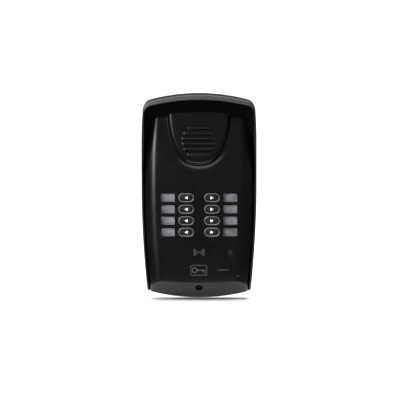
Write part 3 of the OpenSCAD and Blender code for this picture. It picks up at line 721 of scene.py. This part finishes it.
def make_key(n):
    """Key cap: a crowned pill with a rounded edge, a flange behind the face and a round stem."""
    side, centre = key_centre(n)
    half_w, half_h = KEY_W / 2 - RING_W - CAP_GAP, KEY_H / 2 - RING_W - CAP_GAP
    top, flange, stem_end, stem_r = FACE_DEPTH + CAP_PROUD, INNER_DEPTH - 0.1, 31.25, 2.4
    section = [(0.0, stem_end, 0), (stem_r - 0.2, stem_end, 0), (stem_r, stem_end + 0.2, 0),
               (stem_r, flange - 1.2, 0), (half_h + 0.6, flange - 1.2, 1), (half_h + 0.8, flange - 1.0, 1),
               (half_h + 0.8, flange - 0.2, 1), (half_h + 0.6, flange, 1), (half_h, flange, 1)]
    crown = [(0, 1.15), (0.06, 0.9), (0.22, 0.62), (0.5, 0.36), (0.85, 0.17), (1.2, 0.07), (1.6, 0.02),
             (2.1, 0), (half_h, 0)]
    section += [(half_h - inset, top - drop, 1) for inset, drop in crown]
    shape = lofted(pill_rows(centre, half_w, half_h, section))
    make_piece(f"key_{n}_cap", shape, f"key_{n}", "key_plastic", [f"key_cap_{n}"])

    tip, sunk, soft = 1.6, -0.5, 0.12
    corners = np.array([[side * tip, 0], [-side * tip, tip], [-side * tip, -tip]]) + centre
    middle = corners.mean(0)
    rows = []
    for share, rise in ((1.0, sunk), (0.0, sunk), (0.0, -0.01), (0.03, 0.02), (0.08, 0.03), (1.0, 0.03)):
        row = round_corners(corners + (middle - corners) * share, soft if share < 1 else 0)
        rows.append(points3(row[:, 0], top + rise, row[:, 1]))
    make_piece(f"key_{n}_arrow", lofted(rows), f"key_{n}", "arrow_print", [f"key_arrow_{n}"])

    outer, inner = KEY_H / 2 - 0.05, KEY_H / 2 - RING_W
    mid, half_band = (outer + inner) / 2, (outer - inner) / 2
    low, high, crown_h = FACE_DEPTH - 0.8, FACE_DEPTH + 0.4, 0.3
    section = [(inner, low, 1), (outer, low, 1)]
    section += [(mid + half_band * math.cos(t), high - crown_h + crown_h * math.sin(t) ** 0.6, 1)
                for t in np.linspace(0, math.pi, 9)]
    shape = lofted(pill_rows(centre, KEY_W / 2, KEY_H / 2, section), closed=True)
    make_piece(f"key_{n}_ring", shape, "case", "silver_trim", [f"key_ring_{n}"])


def round_corners(corners, r, steps=3):
    """A closed line with each corner rounded by a curve between points at r from it."""
    if r == 0:
        return np.repeat(corners, steps + 1, 0)
    out = []
    for k in range(len(corners)):
        c = corners[k]
        a = corners[k - 1] - c
        b = corners[(k + 1) % len(corners)] - c
        a, b = c + a / np.linalg.norm(a) * r, c + b / np.linalg.norm(b) * r
        out += [(1 - t) ** 2 * a + 2 * t * (1 - t) * c + t * t * b for t in np.linspace(0, 1, steps + 1)]
    return np.array(out)


# ---------------------------------------------------------------- windows, cards, lens

def slab_rows(centre, half, corner, depths, insets):
    """Rows of a slab with round corners: outline drawn in by each inset at each depth."""
    n = 6
    a = (np.linspace(0, math.pi / 2, n)[None, :] + np.arange(4)[:, None] * math.pi / 2).ravel()
    sx = np.repeat([1, -1, -1, 1], n) * (half[0] - corner)
    sz = np.repeat([1, 1, -1, -1], n) * (half[1] - corner)
    rows = []
    for depth, inset in zip(depths, insets):
        if inset is None:
            rows.append(points3(centre[0] + 0 * sx, depth, centre[1] + 0 * sz))
            continue
        r = max(corner - inset, 0.0)
        shrink = max(inset - corner, 0.0)
        x = centre[0] + sx - np.sign(sx) * shrink + r * np.cos(a)
        z = centre[1] + sz - np.sign(sz) * shrink + r * np.sin(a)
        rows.append(points3(x, depth, z))
    return np.stack(rows)


def make_windows(side, name):
    """Clear strip with four panes that fill the name windows, and the card strip behind it."""
    x, strip_half = side * LABEL_X, ((LABEL_W + 2.4) / 2, STRIP_H / 2)
    pane, front = (LABEL_W / 2 - 0.15, LABEL_H / 2 - 0.15), FACE_DEPTH - 0.05
    depths = [STRIP_BACK, STRIP_BACK, STRIP_BACK + 0.2, STRIP_FRONT - 0.2, STRIP_FRONT, STRIP_FRONT]
    grids = [lofted(slab_rows((x, KEY_MID_Z), strip_half, 0.8, depths, [None, 0.2, 0, 0, 0.2, None]))]
    depths = [STRIP_FRONT - 0.1, STRIP_FRONT - 0.1, front - 0.3, front - 0.08, front, front]
    for z in KEY_ROWS:
        grids.append(lofted(slab_rows((x, z), pane, 0.6, depths, [None, 0, 0, 0.08, 0.3, None])))
    make_piece(f"name_{name}_window", join_grids(grids), "case", "clear_window", [f"window_{name}"])

    back, sheet_front = STRIP_BACK - 0.4, STRIP_BACK - 0.05
    depths = [back, back, STRIP_BACK - 0.1, sheet_front, sheet_front]
    card_half = (LABEL_W / 2, (STRIP_H - 1) / 2)
    rows = slab_rows((x, KEY_MID_Z), card_half, 0.5, depths, [None, 0, 0, 0.1, None])
    cards, places = [lofted(rows)], [np.full((rows[..., 0].size, 2), 0.5)]
    depths = [STRIP_BACK - 0.1, STRIP_BACK - 0.1, STRIP_BACK, STRIP_BACK]
    for z in KEY_ROWS:
        rows = slab_rows((x, z), (pane[0] - 0.1, pane[1] - 0.1), 0.4, depths, [None, 0, 0.03, None])
        cards.append(lofted(rows))
        field = np.stack([(rows[..., 0] - x) / LABEL_W + 0.5, (rows[..., 2] - z) / LABEL_H + 0.5], -1)
        places.append(field.reshape(-1, 2))
    make_piece(f"name_{name}_card", join_grids(cards), "case", "label_card", [f"label_strip_{name}"],
               uv=np.concatenate(places))


def turned(section, centre, n=40):
    """Rows of a piece turned about an axis along Y: (radius, depth) pairs swept round."""
    a = np.linspace(0, 2 * math.pi, n, endpoint=False)
    return np.stack([points3(centre[0] + r * np.cos(a), d, centre[1] + r * np.sin(a)) for r, d in section])


def make_mat():
    """Silicone mat on the board: a flat sheet, and a hollow dome under each key, each dome with a mesh of
    its own."""
    sheet_top = BOARD_DEPTH + MAT_T
    half = (KEY_X + 8, (3 * KEY_PITCH + 14) / 2)
    depths = [BOARD_DEPTH, BOARD_DEPTH, BOARD_DEPTH + 0.1, sheet_top - 0.1, sheet_top, sheet_top]
    shape = lofted(slab_rows((0.0, KEY_MID_Z), half, 2.0, depths, [None, 0.1, 0, 0, 0.1, None]))
    make_piece("key_mat_sheet", shape, "case", "silicone", ["keypad_mat"])
    foot, top = sheet_top + 0.01, sheet_top + DOME_H
    section = [(0, foot + 1.2), (1.75, foot + 1.2), (1.85, foot + 1.1), (2.65, foot), (4.35, foot),
               (4.15, foot + 0.07), (4.0, foot + 0.22), (2.75, foot + 1.9), (2.5, foot + 2.05),
               (2.4, foot + 2.2), (2.4, top - 0.2), (2.3, top - 0.05), (2.15, top), (0, top)]
    for n in range(1, 9):
        _, centre = key_centre(n)
        dome = make_piece(f"key_{n}_dome", lofted(turned(section, centre)), "case", "silicone")
        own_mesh(dome)


def make_lens():
    """Status lens: a low dome with a flange behind the face."""
    top = FACE_DEPTH
    section = [(0, 31.5), (3.1, 31.5), (3.2, 31.6), (3.2, INNER_DEPTH - 0.1), (LENS_R, INNER_DEPTH - 0.05),
               (LENS_R, top - 0.2), (LENS_R - 0.08, top - 0.06), (LENS_R - 0.3, top), (1.6, top + 0.1),
               (0.8, top + 0.17), (0, top + 0.2)]
    shape = lofted(turned(section, LENS_AT))
    make_piece("status_light_lens", shape, "case", "smoked_lens", ["status_lens"])


# ---------------------------------------------------------------- printed marks

def printed_bars(name, bars):
    """Printed marks a hair proud of the face. Each bar is a line of points with a width, made a
    flat strip with its edges turned down into the face."""
    grids = []
    lift, sink = 0.03, 0.05
    cross = [(-0.5, -sink), (-0.5, lift * 0.6), (-0.4, lift), (0.4, lift), (0.5, lift * 0.6), (0.5, -sink)]
    for line, width in bars:
        line = np.asarray(line, float)
        run = np.gradient(line, axis=0)
        run /= np.linalg.norm(run, axis=1, keepdims=True)
        square = np.stack([-run[:, 1], run[:, 0]], 1)
        rows = []
        for across, rise in cross:
            p = line + square * width * across
            rows.append(points3(p[:, 0], front_depth(p[:, 0], p[:, 1]) + rise, p[:, 1]))
        rows = np.stack(rows, 1)
        ends = [row.mean(1, keepdims=True) + 0 * row for row in (rows[:1], rows[-1:])]
        grids.append(lofted(np.concatenate([ends[0], rows, ends[1]])))
    make_piece(name, join_grids(grids), "case", "arrow_print", finish="grey_print")


def mark_arc(cx, cz, r, a0, a1, n=14):
    """A line along a circle, between two angles in degrees."""
    a = np.radians(np.linspace(a0, a1, n))
    return np.stack([cx + r * np.cos(a), cz + r * np.sin(a)], 1)


def make_prints():
    """Radio waves either side of a dot, a plain key outline lower down and a row of dashes."""
    cx, cz = 0.0, -58.5
    waves = [(mark_arc(cx, cz, 0.28, 0, 360, 16), 0.55)]
    for r, reach in ((2.4, 42), (4.0, 42), (5.6, 40)):
        for turn in (0, 180):
            waves.append((mark_arc(cx, cz, r, turn - reach, turn + reach), 0.42))
    printed_bars("card_reader_waves", waves)

    kx, kz = -0.2, -77.2
    shape = [(mark_arc(kx - 4.4, kz, 2.5, 0, 360, 30), 0.6),
             ([[kx - 1.9, kz], [kx + 2, kz], [kx + 6.6, kz]], 0.6),
             ([[kx + 4.2, kz], [kx + 4.2, kz - 1.2], [kx + 4.2, kz - 2.2]], 0.6),
             ([[kx + 6.3, kz], [kx + 6.3, kz - 1.2], [kx + 6.3, kz - 2.6]], 0.6)]
    frame_half = np.array([8.3, 5.1])
    frame_corners = np.array([[-1, -1], [1, -1], [1, 1], [-1, 1]]) * frame_half + [kx, kz]
    frame_line = round_corners(frame_corners, 1.2)
    shape.append((np.concatenate([frame_line, frame_line[:2]]), 0.35))
    printed_bars("access_key_mark", shape)

    dashes, dash_z, dash_len, dash_pitch = [], -76.9, 1.25, 1.95
    for k in range(6):
        x0 = 19.4 + k * dash_pitch
        dashes.append(([[x0, dash_z], [x0 + 0.6, dash_z], [x0 + dash_len, dash_z]], 0.55))
    printed_bars("small_print_dashes", dashes)


# ---------------------------------------------------------------- fixing screw

def make_screw():
    """Button head with a six-sided socket and a centre pin, and a threaded shank: the thread's
    radius is its mean plus half its depth times a triangle wave of z / pitch - angle / turn."""
    a = np.linspace(0, 2 * math.pi, 48, endpoint=False)
    socket = 1.75 * math.cos(math.pi / 6) / np.cos((a + math.pi / 6) % (math.pi / 3) - math.pi / 6)
    seat, head, pin_r, top_r, head_rise = -SCREW_SEAT, -SCREW_SEAT + 2.6, 0.5, 2.3, 1.1
    shank_end, pitch, thread_r, thread_h = seat - SCREW_LEN, 0.7, 1.74, 0.28
    section = [(0, head - 0.3), (0.32, head - 0.3), (pin_r, head - 0.5), (pin_r, seat + 0.9),
               (socket * 0.97, seat + 0.9), (socket, seat + 1.1), (socket, head - 0.12),
               (socket + 0.12, head), (top_r, head - 0.03)]
    section += [(top_r + 0.9 * math.sin(t), head - 0.03 - head_rise * (1 - math.cos(t)))
                for t in np.linspace(0.2, 1, 6) * math.pi / 2]
    section += [(3.2, seat + 0.1), (3.1, seat), (1.9, seat)]
    for out in np.arange(seat - 0.3, shank_end + 0.4, -pitch / 6):
        wave = np.abs(((out / pitch - a / (2 * math.pi)) % 1) * 2 - 1)
        fade = min(1.0, (seat - 0.3 - out) / 3, (out - shank_end) / 1.2)
        section.append((thread_r - thread_h * wave * fade, out))
    section += [(1.3, shank_end), (0, shank_end)]
    rows = [along_screw(radius * np.cos(a), out, radius * np.sin(a)) for radius, out in section]
    make_piece("chin_fixing_screw", lofted(rows), "case", "black_steel", ["fixing_screw"])


# ---------------------------------------------------------------- materials

def feed(tree, node, inputs):
    """Links each of a node's inputs to the socket given for it, or sets it to the value given."""
    for key, value in inputs.items():
        socket = node.inputs[key]
        if isinstance(value, bpy.types.NodeSocket):
            tree.links.new(value, socket)
        else:
            socket.default_value = (*value, 1.0) if socket.type == "RGBA" else value


def add_node(tree, kind, inputs, **settings):
    """A new shader node with its settings made and its inputs fed."""
    node = tree.nodes.new("ShaderNode" + kind)
    for key, value in settings.items():
        setattr(node, key, value)
    feed(tree, node, inputs)
    return node


MATERIALS = {}


def material(name, build):
    """Makes and keeps a node material whose build function gets the tree, its Principled shader
    and the object's coordinates."""
    made = bpy.data.materials.new(name)
    made.use_nodes = True
    tree = made.node_tree
    build(tree, tree.nodes["Principled BSDF"], tree.nodes.new("ShaderNodeTexCoord").outputs["Object"])
    MATERIALS[name] = made
    return made


def noise(tree, place, scale, detail=3.0, rough=0.5, stretch=None):
    """Fractal noise with features about 1 / scale metres across."""
    if stretch is not None:
        place = add_node(tree, "Mapping", {"Vector": place, "Scale": stretch}).outputs["Vector"]
    inputs = {"Vector": place, "Scale": scale, "Detail": detail, "Roughness": rough}
    return add_node(tree, "TexNoise", inputs).outputs["Fac"]


def ramp(tree, value, stops):
    """Colour ramp over a value, with two stops of (place, colour)."""
    node = add_node(tree, "ValToRGB", {"Fac": value})
    for mark, (at, colour) in zip(node.color_ramp.elements, stops):
        mark.position = at
        mark.color = (*colour, 1.0)
    return node.outputs["Color"]


def spread(tree, value, low, high, start=0.3, stop=0.7):
    """The value carried from start..stop to low..high."""
    inputs = {"Value": value, "From Min": start, "From Max": stop, "To Min": low, "To Max": high}
    return add_node(tree, "MapRange", inputs).outputs["Result"]


def mix_colour(tree, share, a, b):
    """Colour a turned into colour b by a share; each is a socket or a plain colour."""
    return add_node(tree, "Mix", {"Factor": share, 6: a, 7: b}, data_type="RGBA").outputs[2]


def add_bumps(tree, shader, heights):
    """Chained bumps; heights are (value, strength, distance in metres)."""
    inputs = {}
    for value, strength, distance in heights:
        inputs.update({"Height": value, "Strength": strength, "Distance": distance})
        inputs["Normal"] = add_node(tree, "Bump", inputs).outputs["Normal"]
    tree.links.new(inputs["Normal"], shader.inputs["Normal"])


def edge_wear(tree, radius):
    """Near a convex or concave edge the bevelled normal leans away from the true one: 1 - dot."""
    bevel = add_node(tree, "Bevel", {"Radius": radius}, samples=4).outputs["Normal"]
    true = tree.nodes.new("ShaderNodeNewGeometry").outputs["Normal"]
    dot = add_node(tree, "VectorMath", {0: bevel, 1: true}, operation="DOT_PRODUCT").outputs["Value"]
    return spread(tree, dot, 1.0, 0.0, 0.6, 0.99)


def shades(colour, low, high):
    """Two ramp stops: a colour times low and times high."""
    return [(0.3, [c * low for c in colour]), (0.7, [c * high for c in colour])]


def moulded(name, colour, worn, rough, grain=2600.0, grain_depth=0.00002, wear=0.00035, specular=0.5,
            top=None):
    """Moulded plastic or rubber: fine spark-eroded grain, faint cloudy gloss and lighter edges.
    With top, the colour turns into that one from a height of 60 mm up to 96 mm, a painted light that makes
    the upper part lighter."""
    def build(tree, shader, place):
        cloud = noise(tree, place, 45.0, 4.0, 0.6)
        fine = noise(tree, place, grain, 2.0, 0.6)
        dust = noise(tree, place, 420.0, 6.0, 0.7)
        base = ramp(tree, cloud, shades(colour, 0.94, 1.06))
        base = mix_colour(tree, spread(tree, dust, 0.0, 0.2, 0.62, 0.8), base, worn)
        # Painted light: with top the colour changes by height alone, from 60 mm up to 96 mm.
        if top:
            height = add_node(tree, "SeparateXYZ", {0: place}).outputs["Z"]
            base = mix_colour(tree, spread(tree, height, 0.0, 1.0, 0.06, 0.096), base, top)
        if wear:
            base = mix_colour(tree, edge_wear(tree, wear), base, worn)
        gloss = spread(tree, cloud, rough - 0.02, rough + 0.025)
        feed(tree, shader, {"Base Color": base, "Roughness": gloss, "Specular IOR Level": specular})
        add_bumps(tree, shader, [(fine, 0.35, grain_depth), (cloud, 0.1, 0.00003)])
    material(name, build)


def metal(name, colour, rough, grain=(1, 1, 1), scale=3000.0):
    """Metal with fine drawn or turned marks and a slightly uneven polish."""
    def build(tree, shader, place):
        marks = noise(tree, place, scale, 4.0, 0.6, grain)
        cloud = noise(tree, place, 260.0, 4.0, 0.6)
        base = ramp(tree, cloud, [(0.3, [c * 0.75 for c in colour]), (0.65, colour)])
        gloss = spread(tree, marks, rough - 0.06, rough + 0.1)
        feed(tree, shader, {"Base Color": base, "Roughness": gloss, "Metallic": 1.0})
        add_bumps(tree, shader, [(marks, 0.25, 0.00001)])
    material(name, build)


def label_card():
    """Silver card, brushed across, with painted shade: each field darker towards its lower left and lighter
    towards its upper right.
    """
    def build(tree, shader, place):
        uv = add_node(tree, "UVMap", {}, uv_map="place").outputs["UV"]
        split = add_node(tree, "SeparateXYZ", {0: uv}).outputs
        # Painted shade: the colour ramps from dark at each field's lower left to light at its upper right.
        painted_shade_slope = add_node(tree, "Math", {0: split["X"], 1: 1.3, 2: split["Y"]}, operation="MULTIPLY_ADD")
        shade = ramp(tree, spread(tree, painted_shade_slope.outputs[0], 0.0, 1.0, 0.2, 2.1),
                     [(0.0, (0.27, 0.265, 0.3)), (1.0, (0.9, 0.89, 0.95))])
        brush = noise(tree, place, 900.0, 3.0, 0.6, (0.08, 1.0, 3.0))
        shade = mix_colour(tree, spread(tree, brush, 0.0, 0.15), shade, (0.6, 0.6, 0.62))
        gloss = spread(tree, brush, 0.38, 0.52)
        feed(tree, shader, {"Base Color": shade, "Roughness": gloss, "Metallic": 0.35})
        add_bumps(tree, shader, [(brush, 0.2, 0.00001)])
    material("label_card", build)


def clear(name, colour, alpha, rough):
    """Clear or smoked acrylic, with faint fine scratches in its gloss."""
    def build(tree, shader, place):
        smear = noise(tree, place, 600.0, 5.0, 0.7, (1.0, 1.0, 0.25))
        gloss = spread(tree, smear, rough, rough + 0.08)
        feed(tree, shader, {"Base Color": colour, "Alpha": alpha, "Roughness": gloss})
        add_bumps(tree, shader, [(smear, 0.08, 0.00001)])
    material(name, build)


def woven(name, colour, pitch):
    """Woven cloth: two crossed sine waves, one thread a pitch wide."""
    def build(tree, shader, place):
        inputs = {"Vector": place, "Scale": 0.32 / pitch, "Distortion": 0.6}
        x, z = [add_node(tree, "TexWave", inputs, bands_direction=axis).outputs["Fac"] for axis in "XZ"]
        both = add_node(tree, "Math", {0: x, 1: z}, operation="MULTIPLY").outputs[0]
        shade = ramp(tree, both, [(0.0, [c * 0.4 for c in colour]), (0.8, colour)])
        feed(tree, shader, {"Base Color": shade, "Roughness": spread(tree, both, 0.95, 0.75, 0.0, 1.0)})
        add_bumps(tree, shader, [(both, 0.6, pitch * 0.3)])
    material(name, build)


def board():
    """Printed circuit board: green solder mask with tracks and pads under it."""
    def build(tree, shader, place):
        upright = add_node(tree, "Mapping", {"Vector": place, "Rotation": (math.pi / 2, 0.0, 0.0)})
        inputs = {"Vector": upright.outputs["Vector"], "Scale": 260.0, "Mortar Size": 0.03}
        tracks = add_node(tree, "TexBrick", inputs).outputs["Fac"]
        mask = noise(tree, place, 120.0, 3.0, 0.5)
        green = ramp(tree, mask, [(0.3, (0.008, 0.07, 0.03)), (0.7, (0.014, 0.11, 0.05))])
        shade = mix_colour(tree, tracks, green, (0.05, 0.2, 0.09))
        feed(tree, shader, {"Base Color": shade, "Roughness": spread(tree, mask, 0.28, 0.42)})
        add_bumps(tree, shader, [(tracks, 0.4, 0.00003)])
    material("circuit_board", build)


moulded("hood_plastic", (0.007, 0.007, 0.0075), (0.03, 0.03, 0.032), 0.33)
# The hood's cove and inner walls: a darker, duller copy of the hood plastic, painted shade.
moulded("hood_inside_painted_shade", (0.0015, 0.0015, 0.0016), (0.006, 0.006, 0.006), 0.9, 1500.0, 0.00005,
        wear=0, specular=0.03)
# The hood's rim face: the hood plastic painted lighter towards its top, painted light.
moulded("hood_rim_painted_light", (0.007, 0.007, 0.0075), (0.03, 0.03, 0.032), 0.45, wear=0,
        top=(0.014, 0.014, 0.0148))
moulded("face_plastic", (0.0022, 0.0022, 0.0024), (0.007, 0.007, 0.0075), 0.24)
moulded("base_plastic", (0.020, 0.020, 0.022), (0.07, 0.07, 0.07), 0.5)
moulded("foam_rubber", (0.03, 0.03, 0.03), (0.06, 0.06, 0.06), 0.9, 1400.0, 0.00025, wear=0)
moulded("seal_rubber", (0.022, 0.022, 0.023), (0.06, 0.06, 0.06), 0.68, 1800.0, 0.00003)
moulded("silicone", (0.42, 0.42, 0.44), (0.6, 0.6, 0.62), 0.55, wear=0)
moulded("key_plastic", (0.003, 0.003, 0.0033), (0.008, 0.008, 0.009), 0.5, specular=0.3)
moulded("arrow_print", (0.7, 0.7, 0.7), (0.6, 0.6, 0.6), 0.6, 3200.0, 0.00001, wear=0)
moulded("grey_print", (0.07, 0.07, 0.072), (0.05, 0.05, 0.05), 0.5, 3200.0, 0.00001, wear=0)
moulded("former_plastic", (0.6, 0.57, 0.46), (0.7, 0.68, 0.6), 0.5)
moulded("chip_plastic", (0.02, 0.02, 0.02), (0.06, 0.06, 0.06), 0.55, 1800.0, 0.00004)
moulded("relay_plastic", (0.02, 0.09, 0.32), (0.1, 0.2, 0.5), 0.35)
moulded("terminal_plastic", (0.02, 0.22, 0.06), (0.1, 0.4, 0.15), 0.45)
moulded("led_body", (0.8, 0.78, 0.6), (0.9, 0.9, 0.8), 0.3, wear=0)
moulded("capacitor_sleeve", (0.02, 0.025, 0.06), (0.3, 0.3, 0.32), 0.3)
moulded("speaker_paper", (0.02, 0.02, 0.02), (0.06, 0.06, 0.055), 0.85, 900.0, 0.0001, wear=0)
moulded("magnet_ferrite", (0.06, 0.06, 0.062), (0.14, 0.14, 0.14), 0.7, 1500.0, 0.00006)
woven("mesh_cloth", (0.03, 0.03, 0.03), 0.0004)
board()
label_card()
clear("clear_window", (0.04, 0.042, 0.045), 0.16, 0.06)
clear("smoked_lens", (0.012, 0.012, 0.014), 0.94, 0.08)
metal("steel", (0.6, 0.6, 0.62), 0.32)
metal("speaker_steel", (0.42, 0.42, 0.44), 0.4)
metal("black_steel", (0.06, 0.06, 0.065), 0.42)
metal("brass_insert", (0.75, 0.55, 0.25), 0.35)
metal("copper_wire", (0.72, 0.34, 0.18), 0.35, (1, 1, 8), 1200.0)
metal("silver_trim", (0.3, 0.3, 0.31), 0.45)


def dress_frame():
    """Gives each CAD node that still shows the finish of its slot in the record."""
    for entry in frame["record"]["subparts"]:
        shown = frame["nodes"][entry["node"]]
        shown.data.materials.clear()
        shown.data.materials.append(MATERIALS[entry["material_slot"]])


# ---------------------------------------------------------------- studio

FLOOR_GAP = 0.003


def make_stage():
    """A pale round floor whose rim curves up into a wall: rings about the object, the outer ones
    lifted along a quarter circle. The middle is a sheet of its own, and of the two only it shows
    in the object's gloss."""
    reach, bend, wall_top, around = 4.0, 1.2, 4.0, 96
    middle_r = 0.12
    floor_z = CAD_BOX[0].z - FLOOR_GAP
    t = np.linspace(0, math.pi / 2, 12)
    flat = np.array([0.02, middle_r, 0.5, 1.2, 2.0])
    radius = np.concatenate([flat, reach - bend + bend * np.sin(t), [reach]])
    height = np.concatenate([0 * flat, bend - bend * np.cos(t), [wall_top]]) + floor_z
    a = np.linspace(0, 2 * math.pi, around, endpoint=False)
    rings = np.stack([radius[:, None] * np.cos(a), radius[:, None] * np.sin(a),
                      height[:, None] + 0 * a], -1)
    ids = np.arange(rings.shape[0] * around).reshape(-1, around)
    faces = quads(ids, around=True)
    centre = np.arange(around).reshape(1, -1)

    def build(tree, shader, place):
        gloss = spread(tree, noise(tree, place, 30.0), 0.75, 0.85)
        feed(tree, shader, {"Base Color": (0.9, 0.9, 0.9), "Roughness": gloss})
    paper = material("floor_paper", build)
    points = rings.reshape(-1, 3)
    inner = points[faces][..., :2].mean(axis=1)
    under = np.hypot(inner[:, 0], inner[:, 1]) < middle_r
    for name, share, cap in (("studio_floor", ~under, []), ("studio_floor_middle", under, centre.tolist())):
        used, kept = np.unique(faces[share], return_inverse=True)
        mesh = bpy.data.meshes.new(name)
        mesh.from_pydata(points[used].tolist(), [], kept.reshape(-1, 4).tolist() + cap)
        mesh.shade_smooth()
        mesh.materials.append(paper)
        sheet = placed(name, mesh)
        sheet.visible_glossy = name == "studio_floor_middle"


def make_lamp(name, place, target, size, power):
    """Rectangular soft light at a place, turned to face a target."""
    lamp = bpy.data.lights.new(name, "AREA")
    lamp.shape = "RECTANGLE"
    lamp.size, lamp.size_y = size
    lamp.energy = power
    holder = placed(name, lamp)
    holder.location = place
    holder.rotation_euler = Vector(np.subtract(target, place)).to_track_quat("-Z", "Y").to_euler()


def make_studio():
    """Dim air, a tall soft strip at the left with a dimmer one beside it, a faint strip at the
    right, a low wide one over the camera, and light from above on the visor, wall and floor."""
    world = bpy.data.worlds.new("studio_air")
    world.use_nodes = True
    feed(world.node_tree, world.node_tree.nodes["Background"], {"Color": (1.0, 1.0, 1.0), "Strength": 0.03})
    bpy.context.scene.world = world
    bpy.context.scene.view_settings.view_transform = "Standard"
    middle = (0.0, -0.03, 0.0)
    make_lamp("left_strip", (-0.9, -1.4, 0.72), (0.0, -0.03, 0.15), (0.55, 1.4), 30)
    make_lamp("left_wing", (-1.35, -1.0, 0.8), middle, (0.5, 1.2), 8)
    make_lamp("right_rim", (1.5, -0.5, 0.6), middle, (0.3, 1.2), 0.5)
    make_lamp("front_top", (0.0, -1.35, 0.78), middle, (1.2, 0.3), 5)
    make_lamp("overhead", (0.0, 0.15, 1.6), middle, (1.8, 1.2), 28)
    make_lamp("backdrop_wash", (0.0, 1.6, 2.6), (0.0, 3.9, 0.6), (3.5, 1.2), 82)
    make_lamp("floor_wash", (0.0, 0.1, 2.4), (0.0, 0.4, -0.1), (3.0, 1.6), 50)


def make_camera():
    """Camera in front of the face, a little above it, with a long lens."""
    camera = placed("camera", bpy.data.cameras.new("camera"))
    camera.data.lens, camera.data.sensor_width = 100.0, 36.0
    elevation, distance = math.radians(2.0), 1.151
    target = Vector((0.001, -FACE_DEPTH * MM, -0.0042))
    back = Vector((0.0, -math.cos(elevation), math.sin(elevation)))
    camera.location = target + back * distance
    camera.rotation_euler = (-back).to_track_quat("-Z", "Y").to_euler()
    camera.data.clip_start, camera.data.clip_end = 0.05, 20.0
    bpy.context.scene.camera = camera


dress_frame()
make_hood()
make_face()
for key in range(1, 9):
    make_key(key)
make_windows(-1, "left")
make_windows(1, "right")
make_mat()
make_lens()
make_prints()
make_screw()
make_stage()
make_studio()
make_camera()
